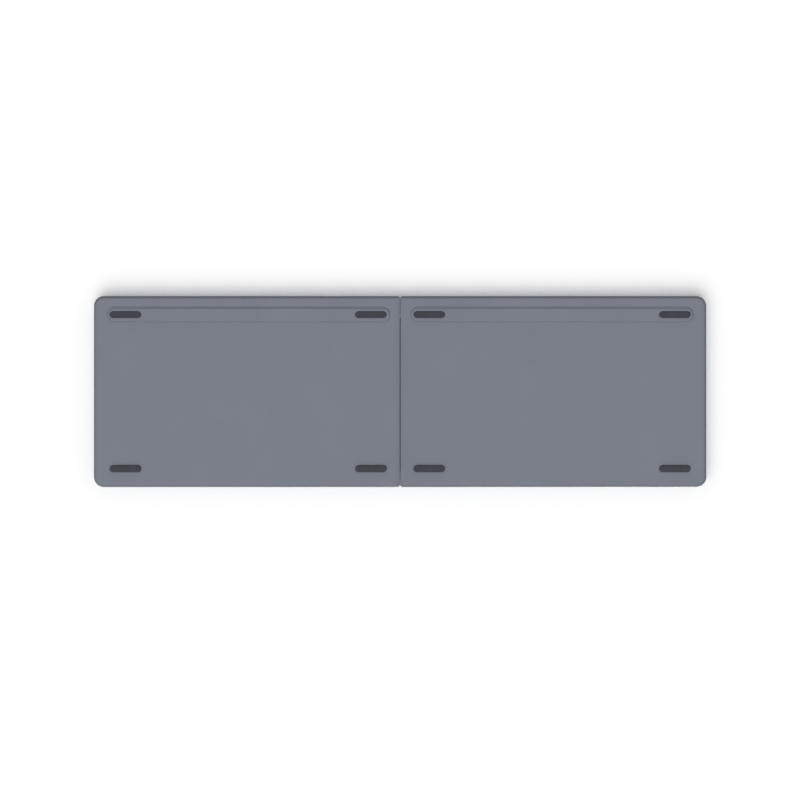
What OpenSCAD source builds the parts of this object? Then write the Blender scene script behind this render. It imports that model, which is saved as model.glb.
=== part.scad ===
// Folding keyboard: two equal halves joined by a barrel hinge along the fold.
// Millimetres. +X runs along the width, +Y away from the user, +Z up.
// The origin is at the middle of the open keyboard, on the surface that its feet stand on.
// Every module that belongs to both halves is drawn for the right half and mirrored for the left.

/* [Key field] */
// Width of the open keyboard: the keys share what the margins leave
open_w = 306; // [298:1:316]
// Distance between two rows of keys
key_pitch_y = 17; // [16.5:0.1:19]
// Gap between neighbouring keycaps
key_gap = 2.4; // [2:0.1:3]
// Height of a keycap, skirt included
key_h = 1.6; // [1.4:0.1:2.4]
// Thickness of a keycap's top
key_top_t = 0.8; // [0.6:0.1:1]
// Wall of a keycap's skirt
key_skirt_t = 0.8; // [0.6:0.1:1.2]
// Corner radius of a keycap
key_corner_r = 1.2; // [0.6:0.1:2]
// How far a key travels down
key_travel = 1.3; // [0.8:0.1:1.8]
// Clearance between a keycap and its window
key_window_gap = 0.3; // [0.2:0.05:0.4]

/* [Casing] */
// Margin between the fold and the first key cell
fold_margin = 4.55; // [4.3:0.05:7]
// Margin between the last key cell and the outer edge
outer_margin = 3.86; // [3.6:0.02:8]
// Margin between the front row of cells and the front edge
front_margin = 3; // [2.6:0.1:8]
// Width of the strip behind the rear row of cells
rear_strip = 7.5; // [7.5:0.1:12]
// Gap between the two bottom shells at the fold
fold_gap = 0.3; // [0.2:0.05:0.5]
// Gap between the two top frames at the ends of the fold
frame_gap = 0.1; // [0.1:0.05:0.2]
// Radius of the four outer corners, seen from above
corner_r = 5; // [4:0.5:8]
// Radius of the corners next to the fold
fold_corner_r = 1; // [0.6:0.1:1.2]
// Rounding of the bottom edge
edge_r = 1.8; // [1:0.1:1.9]
// Wall of the casing
wall = 1.2; // [1:0.1:1.4]
// Thickness of the bottom shell's floor
floor_t = 1; // [0.9:0.1:1.6]
// Free height under the support plate
cavity_h = 2.1; // [2.1:0.1:3.5]
// Height of the top frame's rim above the parting line
rim_h = 2.3; // [2:0.1:2.6]
// Thickness of the top frame's skin around the keys
frame_skin = 1.8; // [1.5:0.1:2]
// Thickness of the sunk deck between the keys
deck_t = 0.7; // [0.6:0.05:0.9]
// Distance from a key's window to the wall of the well around the keys
well_margin = 0.65; // [0.4:0.05:0.8]
// How far the deck reaches under the frame, all round the well
deck_lap = 0.5; // [0.3:0.05:0.6]
// Thickness of the glue line between the deck and the frame
glue_t = 0.05; // [0.03:0.01:0.1]
// Height of the rim above the keycaps
rim_over_keys = 0.2; // [0.1:0.05:0.5]
// Thickness of the lip that locates the frame in the shell
lip_t = 0.8; // [0.6:0.1:1]
// Reach of that lip below the parting line
lip_drop = 0.8; // [0.5:0.1:1]
// Clearance of parts that are fitted together
fit_gap = 0.1; // [0.05:0.05:0.15]

/* [Key mechanism] */
// Thickness of the steel support plate
plate_t = 0.4; // [0.3:0.05:0.6]
// Thickness of the contact membrane
membrane_t = 0.15; // [0.1:0.05:0.25]
// Thickness of the dome sheet
sheet_t = 0.15; // [0.1:0.05:0.25]
// Clearance under a fully pressed keycap
pressed_gap = 0.1; // [0.05:0.05:0.3]
// Radius of a rubber dome at its base
dome_base_r = 2.7; // [2.2:0.1:3]
// Radius of a rubber dome at its top
dome_top_r = 1.5; // [1:0.1:2]
// Length of a scissor link
link_l = 9.6; // [9:0.2:10.4]
// Width of the outer scissor link
link_w = 12; // [11.6:0.1:12.6]
// Width of a scissor link's bars
link_bar = 0.9; // [0.7:0.1:1]
// Thickness of a scissor link
link_t = 0.7; // [0.5:0.1:0.8]
// Keys wider than this many units have two pairs of links
two_links_from = 1.8; // [1.6:0.1:2.2]
// Radius of the frame's rivet posts
post_r = 0.7; // [0.5:0.1:0.75]

/* [Feet] */
// How far the front feet stand out from the shell
front_foot_h = 1.1; // [0.9:0.1:2]
// Height of the raised bar that carries the rear feet
bar_h = 0.6; // [0.4:0.1:0.7]
// Width of the raised bar
bar_w = 7.25; // [6:0.05:9]
// Distance from the fold to the raised bar
bar_fold_inset = 5.2; // [4:0.1:12]
// Distance from the outer edge to the raised bar
bar_outer_inset = 6.8; // [5.5:0.1:14]
// Distance from the rear edge to the raised bar
bar_rear_inset = 5.75; // [4:0.05:8]
// Length of a rubber foot
foot_l = 15.75; // [10:0.05:24]
// Width of a rubber foot
foot_w = 3.6; // [3.4:0.05:5]
// Depth of the pocket that holds a foot
foot_pocket = 0.3; // [0.2:0.05:0.4]
// Distance from the fold to the inner feet
foot_fold_inset = 6.7; // [6:0.1:14]
// Distance from the outer edge to the outer feet
foot_outer_inset = 8; // [7:0.1:16]
// Distance from the front edge to the middle of the front feet
foot_front_inset = 9.1; // [8:0.1:12]

/* [Hinge] */
// Height of the hinge axis above the rim
axis_over_rim = 0.1; // [0.1:0.05:0.3]
// Radius of the hinge barrel
barrel_r = 2.1; // [1.9:0.05:2.15]
// Distance from the front edge to the barrel
barrel_front_inset = 6.75; // [4.5:0.05:9]
// Distance from the rear edge to the barrel
barrel_rear_inset = 10.5; // [6.5:0.1:14]
// Clearance between the barrel and the frames
barrel_gap = 0.3; // [0.25:0.05:0.35]
// Length of one knuckle
knuckle_l = 3.8; // [3:0.1:5]
// Clearance between two knuckles
knuckle_gap = 0.2; // [0.15:0.05:0.4]
// Radius of a hinge pin
pin_r = 0.8; // [0.6:0.05:0.9]
// Running clearance of a pin in its bore, on the radius
pin_gap = 0.05; // [0.03:0.01:0.08]
// How deep a pin reaches into the barrel sleeve
pin_reach = 3.5; // [2.5:0.1:4]
// Radius of the hollow in a barrel sleeve
hollow_r = 1.4; // [1.2:0.05:1.5]
// Thickness of a hinge arm
arm_t = 1; // [0.8:0.1:1.1]
// Thickness of a hinge arm's foot
arm_foot_t = 0.8; // [0.6:0.1:0.9]
// Reach of a hinge arm's foot from the fold
arm_reach = 12.4; // [11:0.1:12.5]
// How much longer the foot is than its knuckle, at each end
arm_foot_extra = 3; // [2:0.1:3.2]
// Distance from the fold to the hinge screws
arm_screw_x = 8.6; // [8:0.1:9.2]
// Radius of the cable in the barrel
cable_r = 0.9; // [0.6:0.05:1]
// Width of the flat part of the cable
cable_w = 4; // [3:0.1:5]
// Thickness of the flat part of the cable
cable_t = 0.3; // [0.2:0.05:0.4]
// Distance from a sleeve's outer end to the cable's slot
cable_slot_at = 5.2; // [5:0.1:8]

/* [Fasteners and magnets] */
// Radius of a screw's shank
screw_r = 0.75; // [0.5:0.05:0.8]
// Radius of a screw's head
screw_head_r = 1.4; // [1.1:0.05:1.45]
// Thickness of a screw's head
screw_head_h = 0.6; // [0.4:0.05:0.65]
// Clearance around a screw, on the radius
screw_gap = 0.1; // [0.05:0.05:0.15]
// Wall of a screw boss
boss_wall = 0.8; // [0.6:0.1:1]
// Height of a screw boss above the floor
boss_h = 0.8; // [0.7:0.05:0.9]
// Length of a closing magnet, along the outer edge
magnet_l = 8; // [4:0.5:14]
// Width of a closing magnet
magnet_w = 1.6; // [1:0.1:1.8]
// Height of a closing magnet
magnet_h = 1.6; // [1:0.1:1.7]
// Skin above a closing magnet
magnet_skin = 0.5; // [0.3:0.05:0.6]
// Distance of the magnets from the middle of the depth
magnet_y = 30; // [10:1:34]

/* [Electronics] */
// Length of the battery
battery_l = 62; // [30:1:80]
// Width of the battery
battery_w = 30; // [20:1:34]
// Thickness of the battery
battery_h = 1.9; // [1.2:0.1:1.9]
// Distance from the outer edge to the battery
battery_outer_inset = 22; // [18:1:36]
// Distance from the front edge to the battery
battery_front_inset = 18; // [16:0.25:28]
// Length of the circuit board
board_l = 46; // [42:1:60]
// Width of the circuit board
board_w = 29.8; // [24:0.1:32]
// Thickness of the circuit board
board_t = 0.8; // [0.6:0.1:0.8]
// Distance from the fold to the circuit board
board_x = 20; // [18:0.5:24]
// Width of the USB-C socket's shell
socket_w = 8.94; // [8.9:0.01:9]
// Height of the USB-C socket's shell
socket_h = 3.16; // [3.1:0.01:3.26]
// Depth of the USB-C socket's shell
socket_l = 7.2; // [6.5:0.05:7.2]
// Sheet thickness of the USB-C socket's shell
socket_t = 0.3; // [0.2:0.05:0.35]
// Distance from the fold to the middle of the socket
socket_x = 34; // [30:0.5:36]
// Distance from the fold to the middle of the power switch
switch_x = 53; // [50:0.5:55]
// Travel of the power switch
switch_travel = 2; // [1:0.1:2.4]
// Length of the switch knob
knob_l = 4; // [3:0.1:5]
// Height of the switch knob
knob_h = 2; // [1.6:0.1:2.1]
// Depth of the pocket for the switch knob
knob_pocket = 1; // [0.8:0.05:1]
// Radius of the status light pipe
light_r = 0.8; // [0.5:0.05:1]
// Distance from the fold to the status light
light_x = 44; // [43:0.5:46]

/* [Hidden] */
$fn = 48;
cut = 1; // how far a cutter runs past the face that it cuts

// Keys, from left to right in each row and from the rear row to the front row: node and width in units.
letter = function (c, w = 1) [str("key_", c), w];
several = function (n, count, w = 1) [for (i = [1:count]) [n, w]];
left_rows = [
    concat(several("left_modifier_keys", 1, 1.85), several("left_number_keys", 6)),
    concat(several("left_modifier_keys", 1, 2.3), [for (c = "qwer") letter(c)], [letter("t", 1.55)]),
    concat(several("left_modifier_keys", 1, 2.55), [for (c = "asdf") letter(c)], [letter("g", 1.3)]),
    concat(several("left_modifier_keys", 1, 2.85), [for (c = "zxcvb") letter(c)]),
    concat(
        several("left_modifier_keys", 1), several("left_modifier_keys", 1, 1.25),
        several("left_modifier_keys", 1), several("left_modifier_keys", 1, 1.25),
        several("left_space_key", 1, 3.35)
    )
];
right_rows = [
    concat(several("right_number_keys", 6), several("right_function_keys", 1, 1.85)),
    concat(
        [letter("y", 1.3)], [for (c = "uiop") letter(c)],
        several("punctuation_keys", 1), several("punctuation_keys", 1, 1.55)
    ),
    concat(
        [letter("h", 1.55)], [for (c = "jkl") letter(c)],
        several("punctuation_keys", 2), several("right_function_keys", 1, 1.3)
    ),
    concat(
        [letter("n", 1.85), letter("m")], several("punctuation_keys", 3),
        several("right_function_keys", 1, 2)
    ),
    concat(several("right_space_key", 1, 2.85), several("right_function_keys", 5))
];
rows_of = function (side) side < 0 ? left_rows : right_rows;
row_count = len(left_rows);
widths_before = function (row, i, k = 0) k >= i ? 0 : row[k][1] + widths_before(row, i, k + 1);
field_units = widths_before(left_rows[0], len(left_rows[0]));

// Plan of the right half
shell_x = fold_gap / 2;
field_x = shell_x + fold_margin;
outer_x = open_w / 2;
field_w = outer_x - outer_margin - field_x;
key_pitch_x = field_w / field_units;
body_d = front_margin + row_count * key_pitch_y + rear_strip;
front_y = -body_d / 2;
rear_y = body_d / 2;
field_rear_y = rear_y - rear_strip;
field_front_y = front_y + front_margin;
window_inset = key_gap / 2 - key_window_gap; // from the edge of a key's cell to its window
well_x0 = field_x + window_inset - well_margin;
well_x1 = field_x + field_w - window_inset + well_margin;
well_y0 = field_front_y + window_inset - well_margin;
well_y1 = field_rear_y - window_inset + well_margin;
well_r = key_corner_r + key_window_gap + well_margin;

// Heights, from the standing surface up
shell_z = front_foot_h;
floor_z = shell_z + floor_t;
plate_z = floor_z + cavity_h;
membrane_z = plate_z + plate_t;
sheet_z = membrane_z + membrane_t;
mech_z = sheet_z + sheet_t;
key_z = mech_z + key_travel + pressed_gap;
key_roof_z = key_z + key_h - key_top_t;
rim_z = key_z + key_h + rim_over_keys;
parting_z = rim_z - rim_h;
skin_z = rim_z - frame_skin;
deck_z = skin_z + deck_t;
axis_z = rim_z + axis_over_rim;

// Layers under the keys
hinge_to_layers = 1.4; // from the hinge arms to the layers
layer_x0 = shell_x + barrel_r + barrel_gap + arm_t + 2 * fit_gap + hinge_to_layers;
layer_x1 = outer_x - wall - lip_t - 4 * fit_gap;
layer_y0 = front_y + wall + lip_t + 2 * fit_gap;
layer_y1 = field_rear_y - fit_gap;

// Hinge
relief_x = barrel_r + barrel_gap + fit_gap / 2;
barrel_y0 = front_y + barrel_front_inset;
barrel_y1 = rear_y - barrel_rear_inset;
sleeve_l = (barrel_y1 - barrel_y0 - 4 * knuckle_l - 5 * knuckle_gap) / 2;
front_outer_y = barrel_y0;
front_inner_y = front_outer_y + knuckle_l + knuckle_gap;
front_sleeve_y = front_inner_y + knuckle_l + knuckle_gap;
rear_sleeve_y = front_sleeve_y + sleeve_l + knuckle_gap;
rear_inner_y = rear_sleeve_y + sleeve_l + knuckle_gap;
rear_outer_y = rear_inner_y + knuckle_l + knuckle_gap;
pin_end_gap = 0.2; // how far a pin stays inside the barrel's end
arm_x = relief_x + fit_gap;
arm_foot_z = plate_z - arm_foot_t;
neck_low = 0.9 * barrel_r;
neck_high = 0.35 * barrel_r;
cable_drop = 0.9; // from the axis down to the middle of the flat cable
cable_bend = 1.35; // from the barrel's relief to the bend of the flat cable
cable_x = relief_x + cable_bend;
cable_end_x = 24;
cable_plug_l = 3;
cable_plug_extra = 1; // how much wider the plug is than the cable, at each side
tongue_at = 0.4 * sleeve_l;
tongue_l = 0.5 * sleeve_l;
tongue_reach = 1.5; // of the sleeve's tongue, past the barrel's relief
tongue_x = relief_x + tongue_reach;
sleeve_plug_extra = 0.5; // how much deeper than the pin the sleeve's narrow bore goes

// Feet and screws: the middles of the feet are also the screws' places
bar_y1 = rear_y - bar_rear_inset;
bar_y = bar_y1 - bar_w / 2;
foot_xs = [foot_fold_inset + foot_l / 2, outer_x - foot_outer_inset - foot_l / 2];
front_foot_y = front_y + foot_front_inset;
head_z = shell_z + foot_pocket;
boss_r = screw_head_r + screw_gap + boss_wall;
standoff_r = screw_r + screw_gap + boss_wall;

// Rivet posts stand on the webs behind the first row and before the last one
post_count = 3; // in a row
post_xs = [for (i = [1:post_count]) field_x + field_w * (2 * i - 1) / (2 * post_count)];
post_ys = [field_front_y + key_pitch_y, field_rear_y - key_pitch_y];
post_tip = plate_z - fit_gap;

// Electronics
board_rear_gap = 0.75; // from the board to the rear wall
board_y1 = rear_y - wall - board_rear_gap;
board_z = floor_z + 0.8;
board_top = board_z + board_t;
cable_z = board_top; // the flat cable lies on the board's level
socket_y0 = rear_y - fit_gap - socket_l;
socket_z = floor_z + fit_gap + socket_h / 2;
port_gap = 0.25; // around the socket in the casing
switch_body_l = 8;
switch_body_w = 2.2;
switch_body_h = 1.8;
switch_z = board_top + switch_body_h / 2;
knob_gap = 0.3;
stem_l = 1.6;
stem_h = 1;
knob_wall_y = rear_y - knob_pocket;
knob_wall_t = 0.8; // of the wall behind the knob's pocket
light_y = rear_y - rear_strip / 2;
light_chip_h = 0.5;
light_chip_w = 1;
rest_r = 1.5;
rest_inset = 3; // of the board's rests, from its edges
rest_rear_inset = 8; // of the rear rests, clear of the socket and the switch
chip_h = 0.4;
chips = [[10, 8, 6, 6], [22, 10, 4, 4], [30, 7, 5, 3]]; // place on the board, length and width
socket_room = 1; // beside the socket, in the frame's lip
socket_back_t = 1; // of the socket's back
contact_w = 6.7; // of the socket's tongue
contact_t = 0.7;
contact_l = 4.6;
lead_t = 0.8; // of a battery lead
lead_pitch = 2;
lead_inset = 4; // of the first lead, from the battery's corner
lead_root = 0.5; // of a lead's length, inside the battery
lead_turn = 0.4; // from the cable's plug to the first lead's turn
lead_step = 1.2; // between the turns of the two leads
tongue_room = 3; // under the sleeve's tongue, in the frame
screw_slot_w = 0.3;
magnet_wall = 0.3; // between the deck and a magnet
magnet_x0 = well_x1 + deck_lap + magnet_wall;

letter_keys = "qwertasdfgzxcvbyuiophjklnm";
key_nodes = concat(
    [for (c = letter_keys) str("key_", c)],
    [
        "left_number_keys", "right_number_keys", "left_modifier_keys", "right_function_keys",
        "punctuation_keys", "left_space_key", "right_space_key"
    ]
);
half_nodes = [
    "bottom_shell", "top_frame", "support_plate", "membrane", "dome_sheet", "scissor_links",
    "feet", "screws", "hinge_knuckles", "hinge_cable", "magnets"
];

shell_colour = [0.48, 0.50, 0.54];
key_colour = [0.15, 0.16, 0.18];
rubber_colour = [0.26, 0.27, 0.29];
steel_colour = [0.72, 0.73, 0.75];
film_colour = [0.35, 0.45, 0.42];
board_colour = [0.08, 0.30, 0.18];

// ---------- shared shapes ----------

// Puts a right-half shape on the right (side 1) or the left (side -1).
module on_side(side) {
    if (side < 0) mirror([1, 0, 0]) children();
    else children();
}

// Rounded rectangle with radius ra at the x0 side and rb at the x1 side.
module rounded_plan(x0, x1, y0, y1, ra, rb) {
    translate([x0, y0 + ra]) square([x1 - x0 - rb, y1 - y0 - 2 * ra]);
    translate([x0 + ra, y0]) square([x1 - x0 - ra - rb, y1 - y0]);
    translate([x0 + ra, y0 + rb]) square([x1 - x0 - ra, y1 - y0 - 2 * rb]);
    for (y = [y0 + ra, y1 - ra]) translate([x0 + ra, y]) circle(ra);
    for (y = [y0 + rb, y1 - rb]) translate([x1 - rb, y]) circle(rb);
}

// Stadium along X, centred.
module stadium(l, w) {
    square([l - w, w], center = true);
    for (x = [-1, 1]) translate([x * (l - w) / 2, 0]) circle(w / 2);
}

module prism(z0, z1) {
    translate([0, 0, z0]) linear_extrude(z1 - z0) children();
}

module block(x0, x1, y0, y1, z0, z1) {
    translate([x0, y0, z0]) cube([x1 - x0, y1 - y0, z1 - z0]);
}

// Straight cylinder along Y from y0 to y1.
module rod_y(r, y0, y1) {
    translate([0, y0, 0]) rotate([-90, 0, 0]) cylinder(r = r, h = y1 - y0);
}

module at_feet() {
    for (x = foot_xs, y = [front_foot_y, bar_y]) translate([x, y]) children();
}

// Calls its children in the middle of each key of a half, with that key's width in $key_w.
module at_keys(side, wanted = undef) {
    rows = rows_of(side);
    x_start = side < 0 ? -(field_x + field_w) : field_x;
    for (r = [0:row_count - 1], i = [0:len(rows[r]) - 1]) {
        if (is_undef(wanted) || rows[r][i][0] == wanted) {
            $key_units = rows[r][i][1];
            $key_w = $key_units * key_pitch_x;
            x = x_start + widths_before(rows[r], i) * key_pitch_x + $key_w / 2;
            translate([x, field_rear_y - (r + 0.5) * key_pitch_y]) children();
        }
    }
}

// ---------- casing ----------

// Section of the shell's edge: w wide from x = 0, h high, rounded below at the far side.
module edge_section(w, h) {
    translate([0, edge_r]) square([w, h - edge_r]);
    square([w - edge_r, h]);
    translate([w - edge_r, edge_r]) circle(edge_r);
}

// Solid with the bottom shell's outer form.
module shell_block() {
    h = parting_z - shell_z;
    in_x = outer_x - corner_r;
    in_y = body_d / 2 - corner_r;
    translate([0, 0, shell_z]) {
        block(shell_x, in_x, -in_y, in_y, 0, h);
        for (s = [-1, 1]) {
            translate([shell_x, s * in_y, 0])
                mirror([0, s < 0 ? 1 : 0, 0])
                    rotate([90, 0, 90]) linear_extrude(in_x - shell_x) edge_section(corner_r, h);
            translate([in_x, s * in_y, 0])
                mirror([0, s < 0 ? 1 : 0, 0])
                    rotate_extrude(angle = 90) edge_section(corner_r, h);
        }
        translate([in_x, in_y, 0])
            rotate([90, 0, 0]) linear_extrude(2 * in_y) edge_section(corner_r, h);
    }
}

module casing_plan(inset) {
    rounded_plan(
        shell_x + inset, outer_x - inset, front_y + inset, rear_y - inset,
        max(fold_corner_r - inset, 0.3), corner_r - inset
    );
}

// Rounds the two vertical edges beside the fold: what lies outside the casing's plan.
module fold_corner_cut(x0, z0, z1) {
    for (s = [-1, 1]) mirror([0, s < 0 ? 1 : 0, 0]) {
        difference() {
            block(x0 - cut, x0 + fold_corner_r, rear_y - fold_corner_r, rear_y + cut, z0, z1);
            translate([x0 + fold_corner_r, rear_y - fold_corner_r, z0 - cut])
                cylinder(r = fold_corner_r, h = z1 - z0 + 2 * cut);
        }
    }
}

module shell(side) {
    color(shell_colour) on_side(side) difference() {
        union() {
            difference() {
                shell_block();
                prism(floor_z, parting_z + cut) casing_plan(wall);
                fold_corner_cut(shell_x, shell_z - cut, parting_z + cut);
            }
            translate([(bar_fold_inset + outer_x - bar_outer_inset) / 2, bar_y])
                prism(shell_z - bar_h, shell_z)
                    stadium(outer_x - bar_outer_inset - bar_fold_inset, bar_w);
            at_feet() translate([0, 0, floor_z]) cylinder(r = boss_r, h = boss_h);
            if (side > 0) {
                board_rests();
                block(
                    switch_x - knob_room() / 2 - wall, switch_x + knob_room() / 2 + wall,
                    knob_wall_y - knob_wall_t, rear_y - wall, floor_z, parting_z
                );
            }
        }
        foot_pockets();
        at_feet() {
            translate([0, 0, shell_z - bar_h]) cylinder(
                r = screw_head_r + screw_gap, h = head_z + screw_head_h - shell_z + bar_h
            );
            translate([0, 0, shell_z]) cylinder(r = screw_r + screw_gap, h = floor_z + boss_h);
        }
        if (side > 0) {
            socket_port();
            knob_recess();
        }
    }
}

module foot_pockets() {
    for (x = foot_xs) {
        translate([x, front_foot_y]) prism(shell_z - cut, shell_z + foot_pocket)
            stadium(foot_l + 2 * fit_gap, foot_w + 2 * fit_gap);
        translate([x, bar_y]) prism(shell_z - bar_h - cut, shell_z - bar_h + foot_pocket)
            stadium(foot_l + 2 * fit_gap, foot_w + 2 * fit_gap);
    }
}

// Posts that the circuit board lies on.
module board_rests() {
    xs = [board_x + rest_inset, board_x + board_l - rest_inset];
    ys = [board_y1 - board_w + rest_inset, board_y1 - rest_rear_inset];
    for (x = xs, y = ys) translate([x, y, floor_z]) cylinder(r = rest_r, h = board_z - floor_z);
}

module socket_port() {
    w = socket_w + 2 * port_gap;
    h = socket_h + 2 * port_gap;
    translate([socket_x, rear_y - wall - cut, socket_z])
        rotate([-90, 0, 0]) linear_extrude(wall + 2 * cut) stadium(w, h);
}

function knob_room() = knob_l + switch_travel + 2 * knob_gap;

module knob_recess() {
    w = knob_room();
    h = knob_h + 2 * knob_gap;
    stem_w = stem_l + switch_travel + 2 * knob_gap;
    block(switch_x - w / 2, switch_x + w / 2, knob_wall_y, rear_y + cut, switch_z - h / 2, switch_z + h / 2);
    block(
        switch_x - stem_w / 2, switch_x + stem_w / 2, knob_wall_y - knob_wall_t - cut, rear_y,
        switch_z - stem_h / 2 - knob_gap / 2, switch_z + stem_h / 2 + knob_gap / 2
    );
}

// Top frame: a border around the well that holds the keys, and the deck glued in from below.
module frame(side) {
    color(shell_colour) on_side(side) {
        border(side);
        deck(side);
    }
}

module border(side) {
    lip_z = parting_z - lip_drop;
    lip_y = rear_y - wall - fit_gap - lip_t;
    difference() {
        union() {
            prism(parting_z, rim_z) frame_plan();
            prism(lip_z, skin_z + fit_gap) casing_plan(wall + fit_gap);
        }
        prism(lip_z - cut, skin_z) casing_plan(wall + fit_gap + lip_t);
        prism(skin_z - cut, rim_z + cut) well_plan(0);
        prism(skin_z - cut, deck_z + glue_t) well_plan(deck_lap + glue_t);
        barrel_relief(side);
        for (y = [-magnet_y, magnet_y]) block(
            magnet_x0 - fit_gap, magnet_x0 + magnet_w + fit_gap,
            y - magnet_l / 2 - fit_gap, y + magnet_l / 2 + fit_gap, lip_z - cut, rim_z - magnet_skin
        );
        if (side > 0) {
            block(
                socket_x - socket_w / 2 - socket_room, switch_x + knob_room() / 2 + wall + fit_gap,
                lip_y - cut, rear_y - wall, lip_z - cut, parting_z
            );
            translate([light_x, light_y, skin_z - cut])
                cylinder(r = light_r + fit_gap, h = frame_skin + 2 * cut);
        }
    }
}

module deck(side) {
    difference() {
        union() {
            prism(skin_z, deck_z) well_plan(deck_lap);
            for (x = post_xs, y = post_ys)
                translate([x, y, post_tip]) cylinder(r = post_r, h = deck_z - deck_t / 2 - post_tip);
        }
        key_windows(side);
    }
}

module well_plan(grow) {
    rounded_plan(
        well_x0 - grow, well_x1 + grow, well_y0 - grow, well_y1 + grow,
        well_r + grow, well_r + grow
    );
}

module frame_plan() {
    rounded_plan(frame_gap / 2, outer_x, front_y, rear_y, fold_corner_r, corner_r);
}

module key_windows(side) {
    w = -2 * window_inset; // what the window lacks of its cell
    on_side(side) at_keys(side) prism(skin_z - cut, rim_z + cut)
        rounded_plan(
            -($key_w + w) / 2, ($key_w + w) / 2, -(key_pitch_y + w) / 2, (key_pitch_y + w) / 2,
            key_corner_r + key_window_gap, key_corner_r + key_window_gap
        );
}

// Room for the barrel, the arms, the sleeve's tongue and the cable.
module barrel_relief(side) {
    low = parting_z - lip_drop - cut;
    block(-cut, relief_x, barrel_y0 - barrel_gap, barrel_y1 + barrel_gap, low, rim_z + cut);
    for (y = arm_ys(side)) block(
        relief_x - cut, arm_x + arm_t + fit_gap, y - fit_gap, y + knuckle_l + fit_gap,
        low, axis_z - neck_high + fit_gap
    );
    at_sleeve(side) {
        block(
            relief_x - cut, tongue_x + fit_gap, tongue_at - fit_gap, tongue_at + tongue_l + fit_gap,
            -neck_low - tongue_room, -neck_high
        );
        block(
            relief_x - cut, cable_x + cable_t + 2 * fit_gap, cable_slot_at - fit_gap,
            cable_slot_at + cable_w + fit_gap, -axis_z, -cable_drop + cable_t / 2 + fit_gap
        );
    }
}

// ---------- key mechanism ----------

// Plan of the plate and of the sheets on it, drawn for the right half.
module layer_plan(inset) {
    rounded_plan(layer_x0 + inset, layer_x1 - inset, layer_y0 + inset, layer_y1 - inset, 1, 2);
}

module post_holes(z0, z1) {
    for (x = post_xs, y = post_ys)
        translate([x, y, z0 - cut]) cylinder(r = post_r + fit_gap, h = z1 - z0 + 2 * cut);
}

module plate(side) {
    color(steel_colour) on_side(side) difference() {
        union() {
            prism(plate_z, membrane_z) layer_plan(0);
            at_feet() translate([0, 0, floor_z + boss_h])
                cylinder(r = standoff_r, h = plate_z - floor_z - boss_h + plate_t / 2);
        }
        post_holes(plate_z, membrane_z);
        at_feet() translate([0, 0, floor_z]) cylinder(r = screw_r + pin_gap, h = plate_z + cut);
        for (y = arm_ys(side)) translate([arm_screw_x, y + knuckle_l / 2, plate_z - cut])
            cylinder(r = screw_r + pin_gap, h = plate_t + 2 * cut);
    }
}

module contact_membrane(side) {
    color(film_colour) on_side(side) difference() {
        prism(membrane_z, sheet_z) layer_plan(0.3);
        post_holes(membrane_z, sheet_z);
    }
}

module domes(side) {
    color(film_colour) union() {
        on_side(side) difference() {
            prism(sheet_z, mech_z) layer_plan(0.3);
            post_holes(sheet_z, mech_z);
        }
        at_keys(side) translate([0, 0, mech_z])
            cylinder(r1 = dome_base_r, r2 = dome_top_r, h = key_roof_z - mech_z);
    }
}

module link_ring(w, tilt) {
    rotate([tilt, 0, 0]) difference() {
        cube([w, link_l, link_t], center = true);
        cube([w - 2 * link_bar, link_l - 2 * link_bar, link_t + cut], center = true);
    }
}

module scissors(side) {
    rise = (key_roof_z - mech_z) / 2 - fit_gap;
    tilt = asin((rise - link_t / 2) / (link_l / 2));
    color(key_colour) at_keys(side) {
        shift = $key_units > two_links_from ? $key_w / 4 : 0;
        for (x = shift > 0 ? [-shift, shift] : [0]) translate([x, 0, (key_roof_z + mech_z) / 2]) {
            link_ring(link_w, tilt);
            link_ring(link_w - 2 * link_bar - 4 * fit_gap, -tilt);
        }
    }
}

module key_cap() {
    w = ($key_w - key_gap) / 2;
    d = (key_pitch_y - key_gap) / 2;
    t = key_skirt_t;
    difference() {
        prism(key_z, key_z + key_h) rounded_plan(-w, w, -d, d, key_corner_r, key_corner_r);
        prism(key_z - cut, key_roof_z)
            rounded_plan(-w + t, w - t, -d + t, d - t, key_corner_r / 2, key_corner_r / 2);
    }
}

module keys_of(name) {
    color(key_colour) for (side = [-1, 1]) at_keys(side, name) key_cap();
}

// ---------- hinge ----------

function arm_ys(side) = side < 0 ? [front_outer_y, rear_inner_y] : [front_inner_y, rear_outer_y];

// Places a sleeve's shape, drawn from its outer end along +Y on the axis, in a right-half frame.
module at_sleeve(side) {
    if (side < 0) translate([0, front_sleeve_y, axis_z]) children();
    else translate([0, rear_sleeve_y + sleeve_l, axis_z]) mirror([0, 1, 0]) children();
}

module hinge_arm(y) {
    difference() {
        union() {
            translate([0, 0, axis_z]) rod_y(barrel_r, y, y + knuckle_l);
            block(0, arm_x + arm_t, y, y + knuckle_l, axis_z - neck_low, axis_z - neck_high);
            block(arm_x, arm_x + arm_t, y, y + knuckle_l, arm_foot_z, axis_z - neck_high);
            block(
                arm_x, arm_reach, y - arm_foot_extra, y + knuckle_l + arm_foot_extra,
                arm_foot_z, plate_z
            );
        }
        translate([0, 0, axis_z]) rod_y(pin_r + pin_gap, y - cut, y + knuckle_l + cut);
        translate([arm_screw_x, y + knuckle_l / 2, arm_foot_z - cut])
            cylinder(r = screw_r + screw_gap, h = arm_foot_t + 2 * cut);
    }
}

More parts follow.
